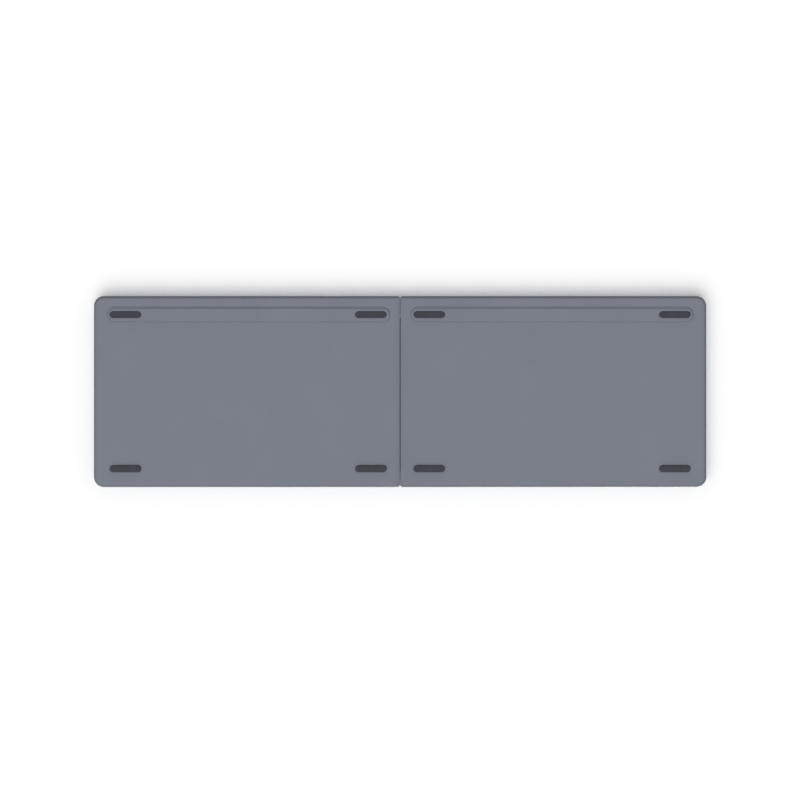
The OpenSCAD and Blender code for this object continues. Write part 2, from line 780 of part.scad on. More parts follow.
// Hollow sleeve of the barrel: it carries the pin's inner end and the cable.
module barrel_sleeve() {
    plug = pin_reach + sleeve_plug_extra;
    difference() {
        union() {
            rod_y(barrel_r, 0, sleeve_l);
            block(barrel_r / 2, tongue_x, tongue_at, tongue_at + tongue_l, -neck_low, -neck_high);
        }
        rod_y(pin_r + pin_gap, -cut, plug + cut);
        rod_y(hollow_r, plug, sleeve_l + cut);
        block(
            0, barrel_r + cut, cable_slot_at - fit_gap, cable_slot_at + cable_w + fit_gap,
            -cable_drop - cable_t / 2 - fit_gap, -cable_drop + cable_t / 2 + fit_gap
        );
    }
}

module knuckles(side) {
    color(rubber_colour) on_side(side) {
        for (y = arm_ys(side)) hinge_arm(y);
        at_sleeve(side) barrel_sleeve();
    }
}

module pins() {
    reach = 2 * (knuckle_l + knuckle_gap) + pin_reach;
    color(steel_colour) translate([0, 0, axis_z]) {
        rod_y(pin_r, barrel_y0 + pin_end_gap, barrel_y0 + reach);
        rod_y(pin_r, barrel_y1 - reach, barrel_y1 - pin_end_gap);
    }
}

// Cable from the barrel's hollow out through the slot and down under the plate.
module cable(side) {
    y0 = cable_slot_at;
    y1 = cable_slot_at + cable_w;
    low = cable_z - axis_z;
    end_gap = 0.05; // half the gap between the two lengths of cable, where they meet on the axis
    color([0.2, 0.2, 0.2]) on_side(side) at_sleeve(side) {
        rod_y(cable_r, y0, sleeve_l + knuckle_gap / 2 - end_gap);
        block(0, cable_x + cable_t, y0, y1, -cable_drop - cable_t / 2, -cable_drop + cable_t / 2);
        block(cable_x, cable_x + cable_t, y0, y1, low, -cable_drop + cable_t / 2);
        block(cable_x, cable_end_x, y0, y1, low, low + cable_t);
        block(
            cable_end_x - cable_plug_l, cable_end_x, y0 - cable_plug_extra, y1 + cable_plug_extra,
            low, plate_z - axis_z
        );
    }
}

// ---------- feet, fasteners, magnets ----------

module feet(side) {
    color(rubber_colour) on_side(side) for (x = foot_xs) {
        translate([x, front_foot_y]) prism(0, shell_z + foot_pocket) stadium(foot_l, foot_w);
        translate([x, bar_y]) prism(0, shell_z - bar_h + foot_pocket) stadium(foot_l, foot_w);
    }
}

module screw(z, tip_z) {
    difference() {
        union() {
            translate([0, 0, z]) cylinder(r = screw_head_r, h = screw_head_h);
            translate([0, 0, z]) cylinder(r = screw_r, h = tip_z - z);
        }
        for (turn = [0, 90]) translate([0, 0, z]) rotate([0, 0, turn])
            cube([1.4 * screw_head_r, screw_slot_w, screw_head_h], center = true);
    }
}

module screws(side) {
    color(steel_colour) on_side(side) {
        at_feet() screw(head_z, plate_z);
        for (y = arm_ys(side)) translate([arm_screw_x, y + knuckle_l / 2])
            screw(arm_foot_z - screw_head_h, membrane_z - fit_gap);
    }
}

module magnets(side) {
    top = rim_z - magnet_skin;
    color(steel_colour) on_side(side) for (y = [-magnet_y, magnet_y]) block(
        magnet_x0, magnet_x0 + magnet_w, y - magnet_l / 2, y + magnet_l / 2, top - magnet_h, top
    );
}

// ---------- electronics ----------

module battery() {
    x1 = -outer_x + battery_outer_inset + battery_l;
    y0 = front_y + battery_front_inset;
    color([0.75, 0.76, 0.78]) prism(floor_z, floor_z + battery_h)
        rounded_plan(x1 - battery_l, x1, y0, y0 + battery_w, 1, 1);
    color([0.6, 0.1, 0.1]) for (k = [0, 1]) battery_lead(x1, y0 + lead_inset + lead_pitch * k, k);
}

// Flat lead from the battery's end to the underside of the cable's plug.
module battery_lead(x0, y, k) {
    t = lead_t;
    turn_x = -cable_end_x + lead_turn + lead_step * k;
    end_y = front_sleeve_y + cable_slot_at + cable_w / 2;
    block(x0 - lead_root, turn_x + t, y, y + t, cable_z - t, cable_z);
    block(turn_x, turn_x + t, min(y, end_y), max(y + t, end_y), cable_z - t, cable_z);
}

module board() {
    x1 = board_x + board_l;
    y0 = board_y1 - board_w;
    color(board_colour) difference() {
        block(board_x, x1, y0, board_y1, board_z, board_top);
        block(
            socket_x - socket_w / 2 - fit_gap, socket_x + socket_w / 2 + fit_gap,
            socket_y0 - fit_gap, rear_y, board_z - cut, board_top + cut
        );
    }
    color([0.1, 0.1, 0.1]) for (c = chips) block(
        board_x + c[0], board_x + c[0] + c[2], y0 + c[1], y0 + c[1] + c[3], board_top, board_top + chip_h
    );
    color(steel_colour) switch_body();
    color("white") {
        block(
            light_x - light_r, light_x + light_r, light_y - light_chip_w / 2, light_y + light_chip_w / 2,
            board_top, board_top + light_chip_h
        );
        translate([light_x, light_y, board_top + light_chip_h])
            cylinder(r = light_r, h = rim_z - fit_gap - board_top - light_chip_h);
    }
}

// Housing of the slide switch, open at the rear for the knob's stem.
module switch_body() {
    y1 = board_y1 - fit_gap;
    slot = stem_l + switch_travel + knob_gap;
    difference() {
        block(
            switch_x - switch_body_l / 2, switch_x + switch_body_l / 2, y1 - switch_body_w, y1,
            board_top, board_top + switch_body_h
        );
        block(
            switch_x - slot / 2, switch_x + slot / 2, y1 - switch_body_w / 2, y1 + cut,
            switch_z - stem_h / 2 - fit_gap, switch_z + stem_h / 2 + fit_gap
        );
    }
}

module socket() {
    color(steel_colour) translate([socket_x, socket_y0, socket_z]) difference() {
        rotate([-90, 0, 0]) linear_extrude(socket_l) stadium(socket_w, socket_h);
        translate([0, socket_back_t, 0]) rotate([-90, 0, 0])
            linear_extrude(socket_l) stadium(socket_w - 2 * socket_t, socket_h - 2 * socket_t);
    }
    color("black") translate([socket_x, socket_y0, socket_z])
        block(
            -contact_w / 2, contact_w / 2, socket_back_t, socket_back_t + contact_l,
            -contact_t / 2, contact_t / 2
        );
}

module knob() {
    x = switch_x - switch_travel / 2;
    y1 = rear_y - fit_gap;
    color(rubber_colour) {
        block(
            x - knob_l / 2, x + knob_l / 2, knob_wall_y + fit_gap, y1,
            switch_z - knob_h / 2, switch_z + knob_h / 2
        );
        block(
            x - stem_l / 2, x + stem_l / 2, board_y1 - switch_body_w / 2, y1,
            switch_z - stem_h / 2, switch_z + stem_h / 2
        );
    }
}

// ---------- the object ----------

for (side = [-1, 1]) {
    half = side < 0 ? "left_" : "right_";
    shell(side);
    frame(side);
    plate(side);
    contact_membrane(side);
    domes(side);
    scissors(side);
    feet(side);
    screws(side);
    knuckles(side);
    cable(side);
    magnets(side);
}
pins();  // hinge_pins
battery();
board();  // main_board
socket();  // usb_c_socket
knob();  // power_switch_knob
for (name = key_nodes) {
    keys_of(name);
}
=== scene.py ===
"""Folding keyboard: the dressed casing, keys, feet and hinge, their finishes, the light and the camera.

Every size in this file is in millimetres, in the frame of the solids: +X to the user's right, +Y away
from the user, +Z up out of the keys. Shapes are built for the right half and mirrored for the left.
"""

from __future__ import annotations

import logging
from dataclasses import dataclass, field
from enum import Enum
from itertools import chain
from typing import Iterable, Sequence

import bmesh
import bpy
import numpy as np
from mathutils import Matrix, Vector
from mathutils.geometry import tessellate_polygon

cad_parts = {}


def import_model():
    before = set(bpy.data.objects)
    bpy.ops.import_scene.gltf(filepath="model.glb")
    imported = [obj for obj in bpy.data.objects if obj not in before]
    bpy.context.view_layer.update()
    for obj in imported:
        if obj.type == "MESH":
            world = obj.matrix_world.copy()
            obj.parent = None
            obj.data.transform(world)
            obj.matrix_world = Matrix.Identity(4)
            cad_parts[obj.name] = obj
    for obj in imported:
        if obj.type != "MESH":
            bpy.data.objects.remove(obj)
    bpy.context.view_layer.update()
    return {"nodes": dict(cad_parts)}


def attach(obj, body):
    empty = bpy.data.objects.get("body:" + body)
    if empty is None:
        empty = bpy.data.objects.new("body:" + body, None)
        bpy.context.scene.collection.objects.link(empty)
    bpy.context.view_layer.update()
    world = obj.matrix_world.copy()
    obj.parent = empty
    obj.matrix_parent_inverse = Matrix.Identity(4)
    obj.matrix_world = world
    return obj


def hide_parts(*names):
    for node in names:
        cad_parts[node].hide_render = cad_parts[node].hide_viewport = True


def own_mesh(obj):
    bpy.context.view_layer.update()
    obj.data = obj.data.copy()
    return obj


MM = 0.001
CREASE_DEGREES = 38.0
# Name of the point attribute of wear, which on the shell also sets painted shade.
WEAR = "wear"
LOG = logging.getLogger("folding_keyboard")

# A round end's radius as a share of half its width, so that the edge between its arcs keeps a length.
ROUND_END = 0.998
# How much longer than wide a disc is made, for the same reason.
DISC_EXTRA = 0.002
# The least radius that an arc keeps when its outline moves.
LEAST_RADIUS = 0.02
# Decimals of a millimetre to which points count as one place.
PLACE_DECIMALS = 4
# The colour sockets of a Mix node by number, as their names aren't theirs alone: both colours and the mix.
MIX_FIRST, MIX_SECOND, MIX_OUT = 6, 7, 2

Pair = tuple[float, float]
Triple = tuple[float, float, float]
Box = tuple[float, float, float, float]
Colour = Triple
Socket = bpy.types.NodeSocket


class Side(Enum):
    """The two halves, by the sign of X."""

    LEFT = -1
    RIGHT = 1

    @property
    def word(self) -> str:
        """The half's name in node and piece names."""
        return self.name.lower()

    @property
    def body(self) -> str:
        """The moving body that the half's casing belongs to."""
        return f"{self.word}_half"


class Anchor(Enum):
    """Where a legend stands on its keycap."""

    CENTRE = (0.0, 0.0)
    UPPER = (0.0, 0.43)
    LOWER = (0.0, -0.40)
    LEFT_FOOT = (-1.0, -0.46)
    RIGHT_FOOT = (1.0, -0.46)


class Arrow(Enum):
    """The four cursor directions, by the quarter turns from pointing right."""

    RIGHT = 0
    UP = 1
    LEFT = 2
    DOWN = 3


# ---------- outlines and solids ----------


@dataclass(frozen=True)
class Outline:
    """A closed plan outline, counter-clockwise: straight edges joined by arcs.

    Attributes:
        corners: The corners before they are rounded.
        radii: One radius for each corner.
        steps: Segments in each arc.
    """

    corners: tuple[Pair, ...]
    radii: tuple[float, ...]
    steps: int = 6

    def loop(self, inset: float = 0.0) -> np.ndarray:
        """Works out the outline's points, moved inwards.

        A corner P between edges with left normals n1 and n2 moves to P + inset (n1 + n2) / (1 + n1.n2).
        A convex arc loses the inset from its radius and a concave one gains it. An arc's points are
        C + R(phi) (S - C), with S the tangent point on the edge before it and C its centre.

        Args:
            inset: How far the outline moves inwards.

        Returns:
            The points, one row each. Every inset gives as many points.
        """
        p = np.asarray(self.corners, float)
        a = p - np.roll(p, 1, 0)
        a /= np.linalg.norm(a, axis=1)[:, None]
        b = np.roll(a, -1, 0)
        left_a, left_b = (np.stack([-d[:, 1], d[:, 0]], 1) for d in (a, b))
        p = p + inset * (left_a + left_b) / (1 + (left_a * left_b).sum(1))[:, None]
        turn = np.arctan2(a[:, 0] * b[:, 1] - a[:, 1] * b[:, 0], (a * b).sum(1))
        r = np.maximum(np.asarray(self.radii) - np.sign(turn) * inset, LEAST_RADIUS)
        start = p - a * (r * np.tan(np.abs(turn) / 2))[:, None]
        centre = start + (np.sign(turn) * r)[:, None] * left_a
        phi = turn[:, None] * np.linspace(0, 1, self.steps + 1)
        dx, dy = (start - centre).T[:, :, None]
        x = centre[:, :1] + np.cos(phi) * dx - np.sin(phi) * dy
        y = centre[:, 1:] + np.sin(phi) * dx + np.cos(phi) * dy
        return np.stack([x, y], -1).reshape(-1, 2)


def rectangle(
    x0: float, x1: float, y0: float, y1: float, radii: float | tuple[float, ...], steps: int = 6
) -> Outline:
    """Makes a rounded rectangle.

    Args:
        x0: Left edge.
        x1: Right edge.
        y0: Front edge.
        y1: Rear edge.
        radii: One radius, or four from the front left corner counter-clockwise.
        steps: Segments in each arc.

    Returns:
        The outline.
    """
    four = radii if isinstance(radii, tuple) else (radii,) * 4
    return Outline(((x0, y0), (x1, y0), (x1, y1), (x0, y1)), four, steps)


def tile(x: float, y: float, half_l: float, half_w: float, radius: float, steps: int = 6) -> Outline:
    """Makes a rounded rectangle around its middle.

    Args:
        x: Its middle.
        y: Its middle.
        half_l: Half its length, along X.
        half_w: Half its width, along Y.
        radius: Radius of its corners.
        steps: Segments in each arc.

    Returns:
        The outline.
    """
    return rectangle(x - half_l, x + half_l, y - half_w, y + half_w, radius, steps)


def stadium(x: float, y: float, length: float, width: float, steps: int = 12) -> Outline:
    """Makes a stadium along X, centred on (x, y): a rectangle whose radius is almost half its width."""
    return tile(x, y, length / 2, width / 2, width / 2 * ROUND_END, steps)


def disc(x: float, y: float, width: float, steps: int) -> Outline:
    """Makes a round outline, centred on (x, y)."""
    return stadium(x, y, width + DISC_EXTRA, width, steps)


def quarter(radius: float, steps: int, inset: float, z: float, rising: bool) -> list[Pair]:
    """Works out a quarter round as stations (inset, z) of a path.

    With angle t from 0 to 90 degrees, a rising edge goes from (inset + r (1 - sin t), z + r (1 - cos t))
    and a falling one ends at (inset + r (1 - cos t), z - r (1 - sin t)).

    Args:
        radius: Radius of the round.
        steps: Segments in it.
        inset: Inset of the wall that the round meets.
        z: Height of the flat that the round meets.
        rising: True for a lower edge, from the flat up to the wall; False for an upper edge.

    Returns:
        The stations, in the order in which the path passes them.
    """
    t = np.linspace(0, np.pi / 2, steps + 1)
    if rising:
        at, up = inset + radius * (1 - np.sin(t)), z + radius * (1 - np.cos(t))
    else:
        at, up = inset + radius * (1 - np.cos(t)), z - radius * (1 - np.sin(t))
    return list(zip(at.tolist(), up.tolist()))


@dataclass
class Solid:
    """A closed mesh in millimetres.

    Attributes:
        points: One row of x, y and z each.
        faces: The faces in groups, as (corners, smooth, finish): one row of point indices a face,
            whether the group is shaded smooth, and the index of its material.
        wear: How worn the surface is at each point, from 0 to 1; the shell's finish also turns it into
            painted shade.
    """

    points: np.ndarray
    faces: list[tuple[np.ndarray, bool, int]]
    wear: np.ndarray

    def volume(self) -> float:
        """Works out the volume, as the sum over fan triangles of a . (b x c) / 6.

        Returns:
            The volume, negative if the faces point inwards.
        """
        total = 0.0
        for corners, _, _ in self.faces:
            p = self.points[corners]
            for k in range(1, corners.shape[1] - 1):
                total += float(np.einsum("ij,ij->", p[:, 0], np.cross(p[:, k], p[:, k + 1]))) / 6
        return total

    def outward(self) -> Solid:
        """Turns the faces outwards.

        Returns:
            The same solid.
        """
        if self.volume() < 0:
            self.faces = [(corners[:, ::-1], smooth, finish) for corners, smooth, finish in self.faces]
        return self

    def along(self, *axes: int) -> Solid:
        """The solid with its axes taken in another order, such as 0, 2, 1 to stand depth along Y."""
        return Solid(self.points[:, list(axes)], self.faces, self.wear).outward()

    def moved(self, x: float = 0.0, y: float = 0.0, z: float = 0.0) -> Solid:
        """The solid moved by x, y and z."""
        return Solid(self.points + np.array([x, y, z]), self.faces, self.wear)

    def finished(self, finish: int) -> Solid:
        """The solid with every face given the material at that index."""
        return Solid(self.points, [(c, s, finish) for c, s, _ in self.faces], self.wear)

    def mirrored(self, side: Side) -> Solid:
        """Puts the solid on its side: as drawn on the right, mirrored in X on the left.

        Args:
            side: The half that it belongs to.

        Returns:
            The solid on that side.
        """
        if side is Side.RIGHT:
            return self
        return Solid(self.points * np.array([-1.0, 1.0, 1.0]), self.faces, self.wear).outward()


def joined(solids: Iterable[Solid]) -> Solid:
    """Gathers several solids in one mesh.

    Args:
        solids: The solids, whose faces are turned outwards.

    Returns:
        The mesh of all of them.
    """
    points, faces, wear, base = [], [], [], 0
    for solid in (s.outward() for s in solids):
        points.append(solid.points)
        wear.append(solid.wear)
        faces += [(corners + base, smooth, finish) for corners, smooth, finish in solid.faces]
        base += len(solid.points)
    return Solid(np.concatenate(points), faces, np.concatenate(wear))


class Sketch:
    """Lays rings of points, bands of quads between them and flat fills across them."""

    def __init__(self) -> None:
        """Starts an empty sketch."""
        self.points: list[np.ndarray] = []
        self.wear: list[np.ndarray] = []
        self.faces: list[tuple[np.ndarray, bool, int]] = []
        self.count = 0

    def add(self, points: np.ndarray, wear: float | np.ndarray = 0.0) -> np.ndarray:
        """Adds points in space.

        Args:
            points: One row of x, y and z each.
            wear: How much the surface is worn there, from 0 to 1.

        Returns:
            The points' indices.
        """
        self.points.append(points)
        self.wear.append(np.broadcast_to(wear, len(points)).astype(float))
        self.count += len(points)
        return np.arange(self.count - len(points), self.count)

    def ring(
        self, loop: np.ndarray, z: float | np.ndarray, wear: float | np.ndarray = 0.0
    ) -> np.ndarray:
        """Adds a plan loop at height z and returns its points' indices."""
        return self.add(np.column_stack([loop, np.broadcast_to(z, len(loop))]), wear)

    def band(self, first: np.ndarray, second: np.ndarray, smooth: bool = True) -> None:
        """Adds quads between two rings. They face outwards going up the outside or down a hole."""
        quads = np.stack([first, np.roll(first, -1), np.roll(second, -1), second], 1)
        self.faces.append((quads, smooth, 0))

    def path(
        self, outline: Outline, stations: Sequence[Pair], worn: Sequence[float] = ()
    ) -> list[np.ndarray]:
        """Carries a profile round an outline.

        Args:
            outline: The outline that the profile follows.
            stations: The profile as (inset, z), going up the outside or down a hole.
            worn: Wear at each station; none if left out.

        Returns:
            The rings, one for each station.
        """
        worn = worn or [0.0] * len(stations)
        rings = [self.ring(outline.loop(d), z, w) for (d, z), w in zip(stations, worn)]
        for first, second in zip(rings, rings[1:]):
            self.band(first, second)
        return rings

    def fill(self, outer: np.ndarray, holes: Sequence[np.ndarray] = (), up: bool = True) -> None:
        """Fills the flat between a ring and the rings inside it.

        The fill joins the rings' own points with triangles, so that it meets every band point to point.

        Args:
            outer: The ring around the fill.
            holes: Rings left open.
            up: True if the fill faces up.
        """
        points = np.concatenate(self.points)
        rings = [outer, *holes]
        lines = [[Vector((p[0], p[1], 0)) for p in points[ring]] for ring in rings]
        corners = np.concatenate(rings)[np.asarray(tessellate_polygon(lines))]
        a, b, c = (points[corners[:, k], :2] for k in range(3))
        area = (b[:, 0] - a[:, 0]) * (c[:, 1] - a[:, 1]) - (b[:, 1] - a[:, 1]) * (c[:, 0] - a[:, 0])
        if (area.sum() > 0) != up:
            corners = corners[:, ::-1]
        self.faces.append((corners, False, 0))

    def solid(self) -> Solid:
        """What was drawn, as a solid."""
        return Solid(np.concatenate(self.points), self.faces, np.concatenate(self.wear))

    def closed(self, rings: Sequence[np.ndarray]) -> Solid:
        """Fills the first ring from below and the last one from above.

        Args:
            rings: The rings of a path.

        Returns:
            What was drawn, as a solid.
        """
        self.fill(rings[0], up=False)
        self.fill(rings[-1], up=True)
        return self.solid()


def post(
    outline: Outline, z0: float, z1: float, low_round: float = 0.0, high_round: float = 0.0,
    steps: int = 4,
) -> Solid:
    """Makes an upright solid with rounded lower and upper edges.

    Args:
        outline: Its plan.
        z0: Its lowest height.
        z1: Its highest height.
        low_round: Radius of the lower edge.
        high_round: Radius of the upper edge.
        steps: Segments in each round.

    Returns:
        The solid.
    """
    sketch = Sketch()
    low = quarter(low_round, steps, 0, z0, True) if low_round else [(0.0, z0)]
    high = quarter(high_round, steps, 0, z1, False) if high_round else [(0.0, z1)]
    worn = [1.0 if low_round else 0.0] * len(low) + [1.0 if high_round else 0.0] * len(high)
    return sketch.closed(sketch.path(outline, low + high, worn))


def turned(profile: Sequence[Pair], segments: int = 48) -> Solid:
    """Turns a closed profile of (radius, place) around an axis.

    Point (i, k) is (r_i cos a_k, r_i sin a_k, s_i) with a_k going once round.

    Args:
        profile: Corners of the profile, none on the axis.
        segments: Segments around the axis.

    Returns:
        The ring-shaped solid around Z.
    """
    r, s = np.asarray(profile, float).T
    angle = np.linspace(0, 2 * np.pi, segments, endpoint=False)
    grid = np.stack(
        [r[:, None] * np.cos(angle), r[:, None] * np.sin(angle), np.repeat(s[:, None], segments, 1)], -1
    )
    sketch = Sketch()
    rings = [sketch.add(row) for row in grid]
    for first, second in zip(rings, rings[1:] + rings[:1]):
        sketch.band(first, second)
    return sketch.solid().outward()


def crease(mesh: bpy.types.Mesh) -> None:
    """Splits the shading at sharp edges and leaves the flat faces flat.

    Args:
        mesh: The mesh.
    """
    smooth = np.zeros(len(mesh.polygons), bool)
    mesh.polygons.foreach_get("use_smooth", smooth)
    mesh.set_sharp_from_angle(angle=np.radians(CREASE_DEGREES))
    mesh.polygons.foreach_set("use_smooth", smooth)


def piece(name: str, solid: Solid, finishes: Sequence[bpy.types.Material]) -> bpy.types.Object:
    """Makes a Blender object from a solid, with smooth shading split at creases.

    Args:
        name: The piece's name.
        solid: Its shape, in millimetres.
        finishes: Its materials, in the order of the solid's face indices.

    Returns:
        The object, at the origin.
    """
    mesh = bpy.data.meshes.new(name)
    rows = [row for corners, _, _ in solid.faces for row in corners.tolist()]
    mesh.from_pydata((solid.points * MM).tolist(), [], rows)
    smooth = np.concatenate([np.full(len(c), s) for c, s, _ in solid.faces])
    index = np.concatenate([np.full(len(c), f, np.int32) for c, _, f in solid.faces])
    mesh.polygons.foreach_set("use_smooth", smooth)
    mesh.polygons.foreach_set("material_index", index)
    mesh.attributes.new(WEAR, "FLOAT", "POINT").data.foreach_set("value", solid.wear.astype(np.float32))
    for finish in finishes:
        mesh.materials.append(finish)
    mesh.validate()
    crease(mesh)
    made = bpy.data.objects.new(name, mesh)
    bpy.context.scene.collection.objects.link(made)
    return made


def cut_out(body: bpy.types.Object, cutters: Sequence[Solid]) -> None:
    """Cuts solids out of a piece's mesh with the exact boolean.

    Args:
        body: The piece that is cut.
        cutters: What is taken away.
    """
    tool = piece(body.name + "_cutter", joined(cutters), list(body.data.materials))
    cut = body.modifiers.new("cut", "BOOLEAN")
    cut.operation, cut.solver, cut.object = "DIFFERENCE", "EXACT", tool
    graph = bpy.context.evaluated_depsgraph_get()
    mesh = bpy.data.meshes.new_from_object(body.evaluated_get(graph))
    body.modifiers.clear()
    old, body.data = body.data, mesh
    bpy.data.meshes.remove(old)
    bpy.data.objects.remove(tool)
    crease(mesh)


# ---------- finishes ----------


@dataclass(frozen=True)
class Noise:
    """A noise pattern, about 0.5 on average.

    Attributes:
        scale: Grains to the metre.
        detail: How many finer layers it has.
        rough: How strong the finer layers are.
    """

    scale: float
    detail: float = 2.0
    rough: float = 0.5


class Nodes:
    """Lays out the nodes of one material around a Principled shader."""

    def __init__(self, name: str) -> None:
        """Starts a material with a Principled shader and an output.

        Args:
            name: The material's name.
        """
        self.material = bpy.data.materials.new(name)
        self.material.use_nodes = True
        self.tree = self.material.node_tree
        self.tree.nodes.clear()
        self.shader = self.add("ShaderNodeBsdfPrincipled")
        output = self.add("ShaderNodeOutputMaterial")
        self.link(self.shader.outputs[0], output.inputs["Surface"])
        self.place = self.add("ShaderNodeTexCoord").outputs["Object"]

    def add(self, kind: str, **settings: object) -> bpy.types.Node:
        """Adds a node.

        Args:
            kind: Its type.
            settings: Its properties.

        Returns:
            The node.
        """
        node = self.tree.nodes.new(kind)
        for key, value in settings.items():
            setattr(node, key, value)
        return node

    def link(self, source: Socket, target: Socket) -> None:
        """Links one socket to another."""
        self.tree.links.new(source, target)

    def set(self, **constants: object) -> None:
        """Sets constants on the shader's own sockets; an underscore stands for a space."""
        for key, value in constants.items():
            self.shader.inputs[key.replace("_", " ")].default_value = value

    def mapped(self, scale: Triple) -> Socket:
        """Stretches the object coordinates.

        Args:
            scale: The factors along X, Y and Z.

        Returns:
            The stretched coordinates.
        """
        node = self.add("ShaderNodeMapping")
        node.inputs["Scale"].default_value = scale
        self.link(self.place, node.inputs["Vector"])
        return node.outputs[0]

    def noise(self, kind: Noise, at: Socket | None = None) -> Socket:
        """Adds a noise pattern.

        Args:
            kind: The pattern.
            at: The coordinates that it is read at, if not the object's own.

        Returns:
            Its value.
        """
        node = self.add("ShaderNodeTexNoise")
        for key, value in (("Scale", kind.scale), ("Detail", kind.detail), ("Roughness", kind.rough)):
            node.inputs[key].default_value = value
        self.link(at or self.place, node.inputs["Vector"])
        return node.outputs["Fac"]

    def ramp(
        self, source: Socket, low: float, high: float, start: float = 0.0, end: float = 1.0
    ) -> Socket:
        """Maps a pattern from one range to another, held at both ends.

        Args:
            source: The pattern.
            low: Its value where the result is start.
            high: Its value where the result is end.
            start: The result at low.
            end: The result at high.

        Returns:
            The mapped pattern.
        """
        node = self.add("ShaderNodeMapRange")
        for key, value in (("From Min", low), ("From Max", high), ("To Min", start), ("To Max", end)):
            node.inputs[key].default_value = value
        self.link(source, node.inputs["Value"])
        return node.outputs[0]

    def math(self, how: str, a: Socket, b: Socket | float) -> Socket:
        """Combines two values.

        Args:
            how: The math node's operation.
            a: The first value.
            b: The second value, a pattern or a number.

        Returns:
            The result.
        """
        node = self.add("ShaderNodeMath", operation=how)
        self.link(a, node.inputs[0])
        if isinstance(b, (int, float)):
            node.inputs[1].default_value = b
        else:
            self.link(b, node.inputs[1])
        return node.outputs[0]

    def blend(self, share: Socket, first: Colour | Socket, second: Colour) -> Socket:
        """Mixes two colours by a pattern.

        Args:
            share: How much of the second there is, from 0 to 1.
            first: The first colour, or a pattern of colours.
            second: The second colour.

        Returns:
            The mixed colour.
        """
        node = self.add("ShaderNodeMix", data_type="RGBA")
        self.link(share, node.inputs[0])
        if isinstance(first, tuple):
            node.inputs[MIX_FIRST].default_value = (*first, 1)
        else:
            self.link(first, node.inputs[MIX_FIRST])
        node.inputs[MIX_SECOND].default_value = (*second, 1)
        return node.outputs[MIX_OUT]

    def worn(self) -> Socket:
        """How worn the surface is, from the piece's own attribute, which on the shell also sets painted
        shade.
        """
        return self.add("ShaderNodeAttribute", attribute_name=WEAR).outputs["Fac"]

    def bump(self, height: Socket, relief: Pair, under: Socket | None = None) -> Socket:
        """Turns a height pattern into a relief.

        Args:
            height: The pattern.
            relief: Depth of the relief in millimetres, and how strongly it turns the light.
            under: The relief that it lies on.

        Returns:
            The surface's normal.
        """
        node = self.add("ShaderNodeBump")
        depth, strength = relief
        node.inputs["Strength"].default_value = strength
        node.inputs["Distance"].default_value = depth * MM
        self.link(height, node.inputs["Height"])
        if under is not None:
            self.link(under, node.inputs["Normal"])
        return node.outputs[0]

    def to(self, name: str, source: Socket) -> None:
        """Links a pattern to one of the shader's sockets."""
        self.link(source, self.shader.inputs[name])


def shade(colour: Colour, factor: float) -> Colour:
    """Makes a lighter or darker tone of a colour.

    Args:
        colour: The colour.
        factor: The tone, over 1 for a lighter one.

    Returns:
        The tone.
    """
    red, green, blue = (min(c * factor, 1.0) for c in colour)
    return red, green, blue


@dataclass(frozen=True)
class Finish:
    """A finish whose tone, roughness and relief vary by noise patterns.

    Attributes:
        name: The material's name.
        colour: Its main colour, linear.
        roughness: Its mean roughness.
        gloss: The specular level.
        cloud: The pattern of its tone.
        tone_span: Where in it the darkest and the palest tone lie.
        tones: The darkest and the palest tone, as factors of the colour.
        haze: The pattern of its roughness.
        rough_span: Where in it the lowest and the highest roughness lie.
        swing: How far the roughness falls under its mean, and how far it rises over it.
        skin: The pattern of its relief.
        relief: Depth of the relief in millimetres, and how strongly it turns the light.
    """

    name: str
    colour: Colour
    roughness: float = 0.5
    gloss: float = 0.5
    cloud: Noise = Noise(300.0, 3.0)
    tone_span: Pair = (0.3, 0.7)
    tones: Pair = (0.93, 1.04)
    haze: Noise = Noise(1500.0)
    rough_span: Pair = (0.3, 0.7)
    swing: Pair = (0.06, 0.06)
    skin: Noise = Noise(2200.0)
    relief: Pair = (0.006, 0.5)

    def tone(self, n: Nodes, pattern: Socket) -> Socket:
        """The colour in the tones that a pattern gives it."""
        dark, pale = (shade(self.colour, tone) for tone in self.tones)
        return n.blend(n.ramp(pattern, *self.tone_span), dark, pale)

    def rough(self, n: Nodes, pattern: Socket) -> Socket:
        """The roughness that a pattern gives it."""
        under, over = self.swing
        return n.ramp(pattern, *self.rough_span, self.roughness - under, self.roughness + over)

    def lay(self, n: Nodes) -> None:
        """Lays out the tone, the roughness and the relief.

        Args:
            n: The material's nodes.
        """
        n.to("Base Color", self.tone(n, n.noise(self.cloud)))
        n.to("Roughness", self.rough(n, n.noise(self.haze)))
        n.to("Normal", n.bump(n.noise(self.skin), self.relief))

    def build(self) -> bpy.types.Material:
        """Builds the material.

        Returns:
            The material.
        """
        n = Nodes(self.name)
        n.set(Specular_IOR_Level=self.gloss)
        self.lay(n)
        return n.material


